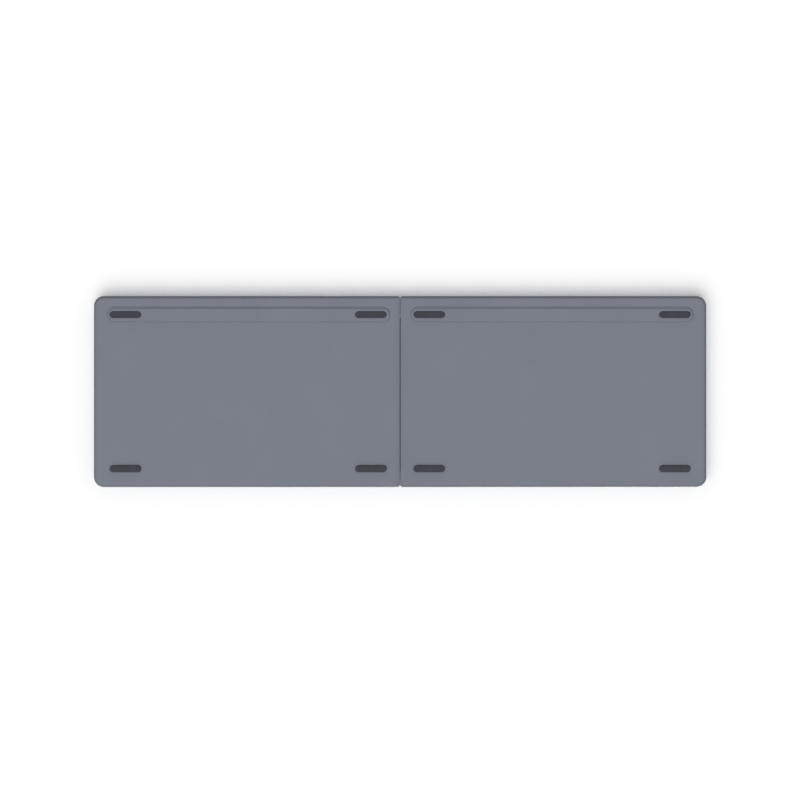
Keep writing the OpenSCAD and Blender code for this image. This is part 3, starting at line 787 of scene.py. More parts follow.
@dataclass(frozen=True)
class MouldedPlastic(Finish):
    """Spark-eroded moulded plastic: a fine grain, faint flow marks and edges rubbed by hands, in a paler
    or darker tone; the shell's darker edges are painted shade.

    Attributes:
        polish: How much smoother the worn places are.
        wear_and_shade_tone: Tone of the worn places: over 1 is paler than the colour, as rubbed plastic;
            under 1 is darker, painted shade as on the shell.
        rub: The pattern of the wear.
        patches: Where in it the wear starts and where it is full.
        cover: Share of the colour that the worn tone, painted shade on the shell, covers where wear is
            full.
        specks: Where in the grain the specks start and are full, and their share of the colour.
        speck_tone: Tone of the specks.
        flow: The pattern of the flow marks.
        flow_relief: Their depth, and how strongly they turn the light.
    """

    gloss: float = 0.25
    cloud: Noise = Noise(38.0, 3.0, 0.55)
    tone_span: Pair = (0.35, 0.65)
    tones: Pair = (0.972, 1.022)
    haze: Noise = Noise(150.0, 3.0)
    swing: Pair = (0.035, 0.035)
    skin: Noise = Noise(4200.0, rough=0.6)
    relief: Pair = (0.01, 0.8)
    polish: float = 0.14
    wear_and_shade_tone: float = 1.10
    rub: Noise = Noise(420.0, 4.0, 0.65)
    patches: Pair = (0.36, 0.66)
    cover: float = 0.8
    specks: Triple = (0.62, 0.80, 0.22)
    speck_tone: float = 0.80
    flow: Noise = Noise(60.0, 1.0)
    flow_relief: Pair = (0.02, 0.5)

    def lay(self, n: Nodes) -> None:
        """Mixes the cloudy colour, its specks and the worn places' tone, which on the shell is painted
        shade, over a grain on the flow marks.

        Args:
            n: The material's nodes.
        """
        fine = n.noise(self.skin)
        # Where the worn tone falls and the surface is smoother; on the shell this darker tone is painted
        # shade.
        worn = n.math("MULTIPLY", n.worn(), n.ramp(n.noise(self.rub), *self.patches))
        start, full, share = self.specks
        specks, toned = n.ramp(fine, start, full, 0.0, share), self.tone(n, n.noise(self.cloud))
        speckled = n.blend(specks, toned, shade(self.colour, self.speck_tone))
        covered = n.math("MULTIPLY", worn, self.cover)
        n.to("Base Color", n.blend(covered, speckled, shade(self.colour, self.wear_and_shade_tone)))
        rough = self.rough(n, n.noise(self.haze))
        n.to("Roughness", n.math("SUBTRACT", rough, n.math("MULTIPLY", worn, self.polish)))
        n.to("Normal", n.bump(fine, self.relief, n.bump(n.noise(self.flow), self.flow_relief)))


@dataclass(frozen=True)
class Ink(Finish):
    """Pad-printed ink: slightly mottled and dull."""

    roughness: float = 0.55
    gloss: float = 0.15
    cloud: Noise = Noise(2600.0, 3.0)
    tones: Pair = (0.86, 1.04)
    haze: Noise = Noise(900.0)
    swing: Pair = (0.07, 0.07)
    skin: Noise = Noise(5200.0)
    relief: Pair = (0.004, 0.5)


@dataclass(frozen=True)
class Rubber(Finish):
    """Matte rubber: a leathery skin with dust in its grain and paler, scuffed edges.

    Attributes:
        dust: Colour of the dust.
        grit: The pattern of the dust's grains.
        grit_span: Where in it a grain starts and is full.
        drift: The pattern of where the dust lies.
        drift_span: Where in it the dust starts and is full.
        dusty: Share of the colour that full dust covers.
        scuff: Share of the colour that full wear covers.
        scuff_tone: Tone of the scuffs.
    """

    roughness: float = 0.82
    gloss: float = 0.11
    cloud: Noise = Noise(190.0, 3.0)
    tones: Pair = (0.90, 1.08)
    swing: Pair = (0.07, 0.06)
    skin: Noise = Noise(2300.0, 4.0, 0.6)
    relief: Pair = (0.03, 0.7)
    dust: Colour = (0.16, 0.16, 0.165)
    grit: Noise = Noise(9000.0, 1.0)
    grit_span: Pair = (0.63, 0.74)
    drift: Noise = Noise(260.0)
    drift_span: Pair = (0.35, 0.7)
    dusty: float = 0.32
    scuff: float = 0.5
    scuff_tone: float = 1.9

    def lay(self, n: Nodes) -> None:
        """Lays dust and scuffs over the skin.

        Args:
            n: The material's nodes.
        """
        skin = n.noise(self.skin)
        grit = n.ramp(n.noise(self.grit), *self.grit_span)
        drift = n.ramp(n.noise(self.drift), *self.drift_span)
        dusty = n.math("MULTIPLY", n.math("MULTIPLY", grit, drift), self.dusty)
        rubbed = n.math("MULTIPLY", n.math("MULTIPLY", n.worn(), skin), self.scuff)
        toned = self.tone(n, n.noise(self.cloud))
        scuffed = n.blend(rubbed, toned, shade(self.colour, self.scuff_tone))
        n.to("Base Color", n.blend(dusty, scuffed, self.dust))
        n.to("Roughness", self.rough(n, skin))
        n.to("Normal", n.bump(skin, self.relief))


class Grain(Enum):
    """Which way a metal was brushed, as how its grain is stretched along X, Y and Z."""

    ALONG_X = (60.0, 9000.0, 9000.0)
    ALONG_Y = (9000.0, 60.0, 9000.0)
    NONE = (2600.0, 2600.0, 2600.0)


@dataclass(frozen=True)
class Metal(Finish):
    """Bare or plated metal: brushed or tumbled, with stains and fine scratches.

    Attributes:
        grain: Which way it was brushed.
        blot: The pattern of the stains.
        blot_span: Where in it a stain starts and is full.
        stain: Share of the colour that a full stain covers.
        stain_tone: Tone of the stains.
    """

    roughness: float = 0.34
    tones: Pair = (0.90, 1.06)
    rough_span: Pair = (0.25, 0.75)
    swing: Pair = (0.08, 0.12)
    skin: Noise = Noise(1.0, 4.0, 0.6)
    relief: Pair = (0.004, 0.6)
    grain: Grain = Grain.NONE
    blot: Noise = Noise(130.0, 4.0)
    blot_span: Pair = (0.45, 0.75)
    stain: float = 0.2
    stain_tone: float = 0.55

    def lay(self, n: Nodes) -> None:
        """Lays the brushed lines, or the tumbled grain, under the stains.

        Args:
            n: The material's nodes.
        """
        lines = n.noise(self.skin, n.mapped(self.grain.value))
        stained = n.ramp(n.noise(self.blot), *self.blot_span, 0.0, self.stain)
        n.to("Base Color", n.blend(stained, self.tone(n, lines), shade(self.colour, self.stain_tone)))
        n.to("Roughness", self.rough(n, lines))
        n.to("Normal", n.bump(lines, self.relief))
        n.set(Metallic=1.0)


@dataclass(frozen=True)
class CoatedMetal(Finish):
    """Zinc casting under a thin satin coat, rubbed through to the metal at its edges.

    Attributes:
        metal: Colour of the metal under the coat.
        rub: The pattern of the rubbed places.
        rub_span: Where in the rubbed wear the metal starts to show and lies open.
        sheen: How metallic the coat is.
    """

    roughness: float = 0.36
    cloud: Noise = Noise(90.0, 3.0)
    tones: Pair = (0.92, 1.08)
    swing: Pair = (0.04, 0.06)
    skin: Noise = Noise(1300.0)
    relief: Pair = (0.008, 0.6)
    metal: Colour = (0.42, 0.42, 0.43)
    rub: Noise = Noise(1100.0, 5.0, 0.7)
    rub_span: Pair = (0.50, 0.60)
    sheen: float = 0.25

    def lay(self, n: Nodes) -> None:
        """Lays the coat and opens it at the worn edges.

        Args:
            n: The material's nodes.
        """
        pebbled = n.noise(self.skin)
        rubbed = n.ramp(n.math("MULTIPLY", n.worn(), n.noise(self.rub)), *self.rub_span)
        n.to("Base Color", n.blend(rubbed, self.tone(n, n.noise(self.cloud)), self.metal))
        n.to("Metallic", n.ramp(rubbed, 0.0, 1.0, self.sheen, 1.0))
        n.to("Roughness", self.rough(n, pebbled))
        n.to("Normal", n.bump(pebbled, self.relief))


@dataclass(frozen=True)
class PrintedFilm(Finish):
    """Polyester film with printed silver tracks under a clear coat.

    Attributes:
        track: Colour of the tracks.
        track_span: Where in their wave a track starts and is full.
        pitch: Tracks to the metre.
        bend: How far the tracks wander.
    """

    roughness: float = 0.36
    cloud: Noise = Noise(160.0, 3.0)
    tone_span: Pair = (0.0, 1.0)
    tones: Pair = (0.85, 1.1)
    haze: Noise = Noise(500.0)
    relief: Pair = (0.01, 0.7)
    track: Colour = (0.50, 0.50, 0.48)
    track_span: Pair = (0.82, 0.90)
    pitch: float = 420.0
    bend: float = 1.5

    def lay(self, n: Nodes) -> None:
        """Draws the tracks across the film.

        Args:
            n: The material's nodes.
        """
        lines = n.add("ShaderNodeTexWave", wave_type="BANDS", bands_direction="DIAGONAL")
        lines.inputs["Scale"].default_value = self.pitch
        lines.inputs["Distortion"].default_value = self.bend
        n.link(n.place, lines.inputs["Vector"])
        drawn = n.ramp(lines.outputs["Fac"], *self.track_span)
        n.to("Base Color", n.blend(drawn, self.tone(n, n.noise(self.cloud)), self.track))
        n.to("Roughness", self.rough(n, n.noise(self.haze)))
        n.to("Normal", n.bump(drawn, self.relief))


@dataclass(frozen=True)
class SolderMask(Finish):
    """Circuit board: copper tracks and dots under solder resist.

    Attributes:
        copper: Colour of the resist over copper.
        cells: Sizes of the tracks' pattern, by the brick texture's sockets.
        bare: The pattern of the places without tracks.
        bare_span: Where in it the tracks start and are full.
    """

    roughness: float = 0.32
    haze: Noise = Noise(700.0)
    relief: Pair = (0.02, 0.8)
    copper: Colour = (0.03, 0.17, 0.085)
    cells: tuple[tuple[str, float], ...] = (
        ("Scale", 330.0), ("Mortar Size", 0.06), ("Brick Width", 0.9), ("Row Height", 0.3),
    )
    bare: Noise = Noise(90.0)
    bare_span: Pair = (0.45, 0.5)

    def lay(self, n: Nodes) -> None:
        """Draws the tracks and dots under the resist.

        Args:
            n: The material's nodes.
        """
        bricks = n.add("ShaderNodeTexBrick")
        for key, value in self.cells:
            bricks.inputs[key].default_value = value
        n.link(n.place, bricks.inputs["Vector"])
        drawn = n.math("MULTIPLY", bricks.outputs["Fac"], n.ramp(n.noise(self.bare), *self.bare_span))
        n.to("Base Color", n.blend(drawn, self.colour, self.copper))
        n.to("Roughness", self.rough(n, n.noise(self.haze)))
        n.to("Normal", n.bump(drawn, self.relief))


@dataclass(frozen=True)
class Clear(Finish):
    """Milky moulded plastic that passes some light, such as a light pipe or silicone.

    Attributes:
        passes: Share of the light that passes.
    """

    swing: Pair = (0.05, 0.08)
    passes: float = 0.3

    def lay(self, n: Nodes) -> None:
        """Clouds the plastic a little and lets light through."""
        super().lay(n)
        n.set(Transmission_Weight=self.passes)


class Finishes:
    """Every finish of the keyboard, built once."""

    def __init__(self) -> None:
        """Builds the materials, named after the record's slots where a slot exists."""
        # The shell's worn places are darker: painted shade along the tray's rounded lower edge and the
        # bar's rim, and the same darker tone falls on the top frame's worn edges; the wide patches make it
        # almost even.
        self.shell = MouldedPlastic(
            "shell", (0.1857, 0.2039, 0.2424), 0.54, 0.13, skin=Noise(3400.0, rough=0.6),
            relief=(0.018, 0.8), wear_and_shade_tone=0.77, patches=(0.1, 0.45),
        ).build()
        self.keycap = MouldedPlastic(
            "keycap", (0.026, 0.028, 0.033), 0.56, 0.20, relief=(0.014, 0.8), polish=0.20, wear_and_shade_tone=1.25
        ).build()
        self.legend = Ink("legend_ink", (0.60, 0.61, 0.62)).build()
        self.foot = Rubber("foot_rubber", (0.0424, 0.0462, 0.0552)).build()
        self.hinge = CoatedMetal("hinge_metal", (0.085, 0.091, 0.108)).build()
        self.plate = Metal("plate_steel", (0.55, 0.55, 0.56), grain=Grain.ALONG_X).build()
        self.fastener = Metal("fastener_steel", (0.50, 0.50, 0.52), 0.30).build()
        self.magnet = Metal("magnet_metal", (0.62, 0.62, 0.63), 0.16, stain=0.08).build()
        self.socket = Metal(
            "socket_steel", (0.58, 0.58, 0.60), 0.28, grain=Grain.ALONG_Y, stain=0.1
        ).build()
        self.gold = Metal(
            "contact_gold", (0.80, 0.56, 0.24), 0.25, grain=Grain.ALONG_Y, stain=0.05
        ).build()
        self.foil = Metal("battery_foil", (0.60, 0.61, 0.64), 0.36, stain=0.15).build()
        self.film = PrintedFilm("film", (0.16, 0.30, 0.24)).build()
        self.board = SolderMask("board", (0.02, 0.10, 0.05)).build()
        self.dome = Clear("dome_rubber", (0.62, 0.62, 0.60), 0.5, passes=0.25).build()
        self.lens = Clear("status_lens", (0.78, 0.82, 0.84), 0.3, passes=0.2).build()
        self.link = MouldedPlastic(
            "link_plastic", (0.68, 0.68, 0.65), 0.42, skin=Noise(3000.0, rough=0.6)
        ).build()
        self.cable = Rubber(
            "cable_jacket", (0.02, 0.02, 0.021), 0.6, 0.17, dust=(0.08, 0.08, 0.08)
        ).build()
        self.knob = MouldedPlastic("knob_plastic", (0.036, 0.038, 0.045), 0.48).build()
        self.tongue = MouldedPlastic(
            "socket_insert", (0.014, 0.014, 0.016), 0.4, relief=(0.006, 0.8)
        ).build()


# ---------- the casing ----------


@dataclass(frozen=True)
class Plan:
    """Sizes that the pieces of a half share.

    Attributes:
        outer_x: Outer side of the half.
        shell_x: Where the shell starts beside the fold.
        frame_x: Where the top frame starts beside the fold.
        front_y: Front side.
        rear_y: Rear side.
        corner_r: Radius of the outer corners in plan.
        fold_corner_r: Radius of the corners at the fold.
        shell_z: Underside of the shell.
        floor_z: Upper side of the shell's floor.
        parting_z: Where the shell and the top frame meet.
        skin_z: Underside of the deck.
        deck_z: Upper side of the deck.
        rim_z: Upper side of the border round the keys.
        axis_z: Height of the fold's axis.
        foot_xs: Middles of the feet along X.
        front_foot_y: Middle of the front feet.
        bar_y: Middle of the feet on the bar.
        bar_z: Underside of the bar.
        foot_l: Length of a foot's place.
        foot_w: Width of a foot's place.
        relief: The barrel's relief in the top frame, as its depth and its two ends along Y.
        well: The key well, as x0, x1, y0 and y1.
        well_r: Corner radius of the key well.
        seam: Chamfer at the parting line.
        port: The socket's middle, as x and z.
        light: The status light's middle, as x and y.
    """

    outer_x: float = 153.0
    shell_x: float = 0.19
    frame_x: float = 0.05
    front_y: float = -47.75
    rear_y: float = 47.75
    corner_r: float = 5.0
    fold_corner_r: float = 1.0
    shell_z: float = 1.1
    floor_z: float = 2.1
    parting_z: float = 5.8
    skin_z: float = 6.3
    deck_z: float = 7.0
    rim_z: float = 8.1
    axis_z: float = 8.2
    foot_xs: Pair = (14.575, 137.125)
    front_foot_y: float = -38.55
    bar_y: float = 38.375
    bar_z: float = 0.5
    foot_l: float = 15.6
    foot_w: float = 3.3
    relief: Triple = (2.45, -41.3, 37.55)
    well: Box = (4.95, 148.89, -44.5, 40.0)
    well_r: float = 2.15
    seam: float = 0.12
    port: Pair = (34.0, 3.78)
    light: Pair = (44.0, 44.0)


PLAN = Plan()


@dataclass
class Assembly:
    """What every sub-assembly has.

    Attributes:
        finishes: The finishes.
    """

    finishes: Finishes


@dataclass
class HalfAssembly(Assembly):
    """What every sub-assembly of a half has. It is drawn on the right and mirrored for the left.

    Attributes:
        side: Which half.
    """

    side: Side

    def put(
        self, part: str, suffix: str, solid: Solid, finish: bpy.types.Material, slot: str,
        cutters: Sequence[Solid] = (),
    ) -> None:
        """Makes a piece of the half and places it.

        Args:
            part: The solids that it stands for, after the half's word.
            suffix: What its name adds to theirs.
            solid: Its shape, drawn on the right.
            finish: Its material.
            slot: The record's material slot.
            cutters: What is cut out of it.
        """
        node = f"{self.side.word}_{part}"
        made = piece(f"{node}_{suffix}", solid.mirrored(self.side), [finish])
        if cutters:
            cut_out(made, cutters)
        place(made, self.side.body, slot, node)


@dataclass
class BottomShell(HalfAssembly):
    """The tray of one half: a rounded lower edge, the raised bar and the pockets of the feet.

    Attributes:
        edge_r: Rounding of the lower edge on the three outer sides.
        fold_edge_r: Rounding of the lower edge along the fold.
        wall: Thickness of the wall.
        bar: The bar's plan at its root, as x0, x1, y0 and y1.
        bar_slopes: Width of the slope along the bar's rear edge, and along its other edges.
        rim: Width of the bar's low rim, and how far its middle lies under it.
        rim_stand: How far the rim's crest stands out past the bar's underside.
        pocket: Depth of a foot's pocket.
        pocket_gap: Clearance round a foot.
        pocket_edge: Chamfer of a pocket's rim.
        wear_and_shade_end: How far over the lower edge its wear ends, and with it the painted shade that
            the shell's finish gives the wear.
        fold_wear_and_shade: Share of the outer edges' wear, and of its painted shade, that the edge along
            the fold has.
        fold_fade: How far from the fold the wear and its painted shade are full.
        least_corner: Least corner radius of the wall at the fold.
        port: Length and height of the hole for the charging socket.
        port_y: Where that hole starts, inside the rear wall.
        recess: The switch's recess in the rear wall, as x0, x1, z0 and z1.
        recess_r: Its corner radius.
        recess_y: Its ground.
        cut_y: Where the hole and the recess end, behind the rear wall.
    """

    edge_r: float = 1.8
    fold_edge_r: float = 0.12
    wall: float = 1.2
    bar: Box = (4.8, 146.6, 33.95, 42.5)
    bar_slopes: Pair = (1.25, 0.6)
    rim: Pair = (0.2, 0.13)
    rim_stand: float = 0.03
    pocket: float = 0.3
    pocket_gap: float = 0.04
    pocket_edge: float = 0.05
    wear_and_shade_end: float = 0.5
    fold_wear_and_shade: float = 0.5
    fold_fade: float = 0.2
    least_corner: float = 0.2
    port: Pair = (9.44, 3.66)
    port_y: float = 44.0
    recess: Box = (49.7, 56.3, 3.3, 6.4)
    recess_r: float = 0.25
    recess_y: float = 46.75
    cut_y: float = 49.0

    def bar_loop(self, share: float, inset: float = 0.0) -> np.ndarray:
        """Works out the bar's plan at a share of its slope.

        Args:
            share: The share, from 0 at the root to 1 at the rim.
            inset: How far the plan moves inwards beyond that.

        Returns:
            The plan's points.
        """
        rear, near = (width * share + inset for width in self.bar_slopes)
        x0, x1, y0, y1 = self.bar
        x0, x1, y0, y1 = x0 + near, x1 - near, y0 + near, y1 - rear
        return rectangle(x0, x1, y0, y1, (y1 - y0) / 2 * ROUND_END, 16).loop()

    def pocket_rim(self, sketch: Sketch, x: float, y: float, z: float) -> np.ndarray:
        """Sinks a foot's pocket into the flat at height z.

        Args:
            sketch: The shell's sketch.
            x: Middle of the foot.
            y: Middle of the foot.
            z: Height of the flat.

        Returns:
            The ring at the pocket's rim.
        """
        outline = stadium(x, y, PLAN.foot_l + 2 * self.pocket_gap, PLAN.foot_w + 2 * self.pocket_gap)
        edge = self.pocket_edge
        rings = sketch.path(outline, [(0, z + self.pocket), (0, z + edge), (-edge, z)])
        sketch.fill(rings[0], up=False)
        return rings[-1]

    def wall_loop(self, inset: float, z: float) -> np.ndarray:
        """Works out the wall's plan at a station: moved inwards on the three outer sides only.

        Along the fold the wall stays where it is, but for a small round of its lower edge, whose inset
        at a height h over the flat is r - sqrt(r^2 - (r - h)^2), and for its top and its inside.

        Args:
            inset: The station's inset.
            z: The station's height.

        Returns:
            The plan's points.
        """
        r = self.fold_edge_r
        below = min(max(r - (z - PLAN.shell_z), 0.0), r)
        inner = inset >= self.wall or z >= PLAN.parting_z
        fold = max(r - (r**2 - below**2) ** 0.5, inset if inner else 0.0)
        near, far = max(PLAN.fold_corner_r - inset, self.least_corner), PLAN.corner_r - inset
        return rectangle(
            PLAN.shell_x + fold, PLAN.outer_x - inset, PLAN.front_y + inset, PLAN.rear_y - inset,
            (near, far, far, near), 10,
        ).loop()

    def solid(self) -> Solid:
        """Draws the tray for the right half.

        The wall's profile runs from the flat bottom out round the lower edge, up the outside, over the
        top and down the inside to the floor. The bar's runs from its sunk middle over the rim to its
        root, in rows of its share of the slope, inset, height and wear.

        Returns:
            The tray.
        """
        sketch = Sketch()
        top, low = PLAN.parting_z, PLAN.shell_z
        stations = quarter(self.edge_r, 10, 0, low, True)
        stations += [(0, low + self.edge_r + self.wear_and_shade_end), (0, top - PLAN.seam)]
        stations += [(PLAN.seam, top), (self.wall, top), (self.wall, PLAN.floor_z)]
        # Wear at each station, full round the lower edge: the shell's finish darkens it there as painted
        # shade.
        worn = [0, 0.2, 0.5, 0.8, 1, 1, 1, 1, 1, 1, 1, 0, 0.2, 0.8, 0, 0]
        walls = []
        for (inset, z), wear in zip(stations, worn, strict=True):
            loop = self.wall_loop(inset, z)
            # Near the fold the wear, and so its painted shade, is weaker.
            off_fold = np.clip((loop[:, 0] - loop[:, 0].min()) / self.fold_fade, 0, 1)
            walls.append(sketch.ring(loop, z, wear * (self.fold_wear_and_shade + (1 - self.fold_wear_and_shade) * off_fold)))
        width, depth = self.rim
        crest = PLAN.bar_z - self.rim_stand
        # The bar's rim is worn too, and so darkened as painted shade.
        steps = (
            (1, width * 2.2, crest + depth, 0), (1, width, crest, 0.5), (1, width * 0.4, crest, 0.5),
            (0.97, 0, crest + 0.06, 0.5), (0.12, 0, low - 0.09, 0), (0, 0, low, 0),
        )
        bars = [sketch.ring(self.bar_loop(share, inset), z, w) for share, inset, z, w in steps]
        for rings in (walls, bars):
            for first, second in zip(rings, rings[1:]):
                sketch.band(first, second)
        flat = [self.pocket_rim(sketch, x, PLAN.front_foot_y, low) for x in PLAN.foot_xs]
        sunk = [self.pocket_rim(sketch, x, PLAN.bar_y, crest + depth) for x in PLAN.foot_xs]
        sketch.fill(walls[-1], up=True)
        sketch.fill(walls[0], [bars[-1], *flat], up=False)
        sketch.fill(bars[0], sunk, up=False)
        return sketch.solid()

    def build(self) -> None:
        """Makes the piece, with the port and the switch's recess on the right half."""
        port = post(stadium(*PLAN.port, *self.port, 14), self.port_y, self.cut_y)
        recess = post(rectangle(*self.recess, self.recess_r, 4), self.recess_y, self.cut_y)
        cutters = [cut.along(0, 2, 1) for cut in (port, recess)] if self.side is Side.RIGHT else []
        self.put("bottom_shell", "skin", self.solid(), self.finishes.shell, "shell", cutters)


def place(made: bpy.types.Object, body: str, slot: str | None, *nodes: str) -> None:
    """Puts a piece on its body, hides what it replaces and reports it.

    Args:
        made: The piece.
        body: The body that carries it.
        slot: The record's material slot, if it has one; not used.
        nodes: The solids that it stands for.
    """
    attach(made, body)
    if nodes:
        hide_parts(*nodes)
    LOG.info("%s: %d faces, on %s", made.name, len(made.data.polygons), body)


@dataclass
class TopFrame(HalfAssembly):
    """The border round the key well of one half, and the deck with a window for every key.

    Attributes:
        windows: The keycaps' boxes on that half, as (x0, x1, y0, y1), drawn on the right.
        wall: Width of the border's foot on the shell.
        rim_round: Rounding of the outer top edge.
        well_round: Rounding of the well's edge.
        relief_r: Corner radii of the barrel's relief, at its mouth and at its ground.
        window_gap: Clearance round a keycap.
        window_r: Corner radius of a window.
        window_edge: Chamfer of a window.
        deck_lap: How far the deck reaches under the border.
        deck_gap: Clearance over the deck, under the border.
        rebate: How far the border is cut back over the deck.
        light_w: Width of the status light's hole.
        light_edge: Chamfer of that hole.
    """

    windows: list[Box]
    wall: float = 1.2
    rim_round: float = 0.45
    well_round: float = 0.22
    relief_r: Pair = (0.5, 0.3)
    window_gap: float = 0.3
    window_r: float = 1.5
    window_edge: float = 0.12
    deck_lap: float = 0.45
    deck_gap: float = 0.05
    rebate: float = 0.5
    light_w: float = 1.8
    light_edge: float = 0.08

    def border(self) -> Solid:
        """Draws the border: an outline with the barrel's relief cut in, and the well inside it.

        The outer profile runs from the foot over the seam and up the outside to the rim, the inner one
        from the rim down the well to the rebate that lies over the deck.

        Returns:
            The border.
        """
        sketch = Sketch()
        x, y0, y1 = PLAN.relief
        near, far, (mouth, ground) = PLAN.fold_corner_r, PLAN.corner_r, self.relief_r
        outline = Outline(
            (
                (PLAN.frame_x, PLAN.front_y), (PLAN.outer_x, PLAN.front_y), (PLAN.outer_x, PLAN.rear_y),
                (PLAN.frame_x, PLAN.rear_y), (PLAN.frame_x, y1), (x, y1), (x, y0), (PLAN.frame_x, y0),
            ),
            (near, far, far, near, mouth, ground, ground, mouth), 8,
        )
        low, top, seam = PLAN.parting_z, PLAN.rim_z, PLAN.seam
        stations = [(self.wall, PLAN.skin_z), (self.wall, low), (seam, low), (0, low + seam)]
        stations += quarter(self.rim_round, 6, 0, top, False)
        worn = [0, 0, 0.8, 0.2] + [0, 0.4, 0.9, 1, 0.9, 0.5, 0]
        outside = sketch.path(outline, stations, worn)
        x0, x1, y0, y1 = PLAN.well
        well = rectangle(x0, x1, y0, y1, PLAN.well_r, 8)
        rounded = [(d - self.well_round, z) for d, z in quarter(self.well_round, 4, 0, top, False)[::-1]]
        rounded = [(-d - self.well_round, z) for d, z in rounded]
        under, back = PLAN.deck_z + self.deck_gap, -self.rebate
        inside = sketch.path(
            well, rounded + [(0, under), (back, under), (back, PLAN.skin_z)],
            [0.2, 0.8, 1, 0.7, 0.2, 0, 0, 0],
        )
        tops, lows = [inside[0]], [inside[-1]]
        if self.side is Side.RIGHT:
            edge = self.light_edge
            light = sketch.path(
                disc(*PLAN.light, self.light_w, 10), [(-edge, top), (0, top - edge), (0, PLAN.skin_z)]
            )
            tops.append(light[0])
            lows.append(light[-1])
        sketch.fill(outside[-1], tops, up=True)
        sketch.fill(outside[0], lows, up=False)
        return sketch.solid()

    def deck(self) -> Solid:
        """Draws the deck: a flat sheet with a chamfered window round every keycap.

        Returns:
            The deck.
        """
        sketch = Sketch()
        x0, x1, y0, y1 = PLAN.well
        grow = self.deck_lap
        sheet = rectangle(x0 - grow, x1 + grow, y0 - grow, y1 + grow, PLAN.well_r + grow, 6)
        rings = sketch.path(sheet, [(0, PLAN.skin_z), (0, PLAN.deck_z)])
        gap, edge, holes = self.window_gap, self.window_edge, []
        for x0, x1, y0, y1 in self.windows:
            window = rectangle(x0 - gap, x1 + gap, y0 - gap, y1 + gap, self.window_r, 5)
            stations = [(-edge, PLAN.deck_z), (0, PLAN.deck_z - edge), (0, PLAN.skin_z)]
            holes.append(sketch.path(window, stations, [0.3, 0.8, 0]))
        sketch.fill(rings[0], [h[-1] for h in holes], up=False)
        sketch.fill(rings[1], [h[0] for h in holes], up=True)
        return sketch.solid()

    def build(self) -> None:
        """Makes the border and the deck."""
        for suffix, solid in (("border", self.border()), ("deck", self.deck())):
            self.put("top_frame", suffix, solid, self.finishes.shell, "shell")


@dataclass
class FootSet(HalfAssembly):
    """The four rubber feet of one half: pills with a soft lower edge.

    Attributes:
        edge_r: Rounding of the lower edge.
        sink: How far a foot stands in its pocket.
        slack: How much smaller a foot is than its place.
    """

    edge_r: float = 0.4
    sink: float = 0.28
    slack: float = 0.1

    def build(self) -> None:
        """Makes the feet as one piece."""
        length, width = PLAN.foot_l - self.slack, PLAN.foot_w - self.slack
        feet = [
            post(stadium(x, y, length, width, 14), 0.0, z + self.sink, self.edge_r, 0.0, 5)
            for x in PLAN.foot_xs
            for y, z in ((PLAN.front_foot_y, PLAN.shell_z), (PLAN.bar_y, PLAN.bar_z))
        ]
        self.put("feet", "pads", joined(feet), self.finishes.foot, "foot_rubber")


# ---------- the hinge ----------


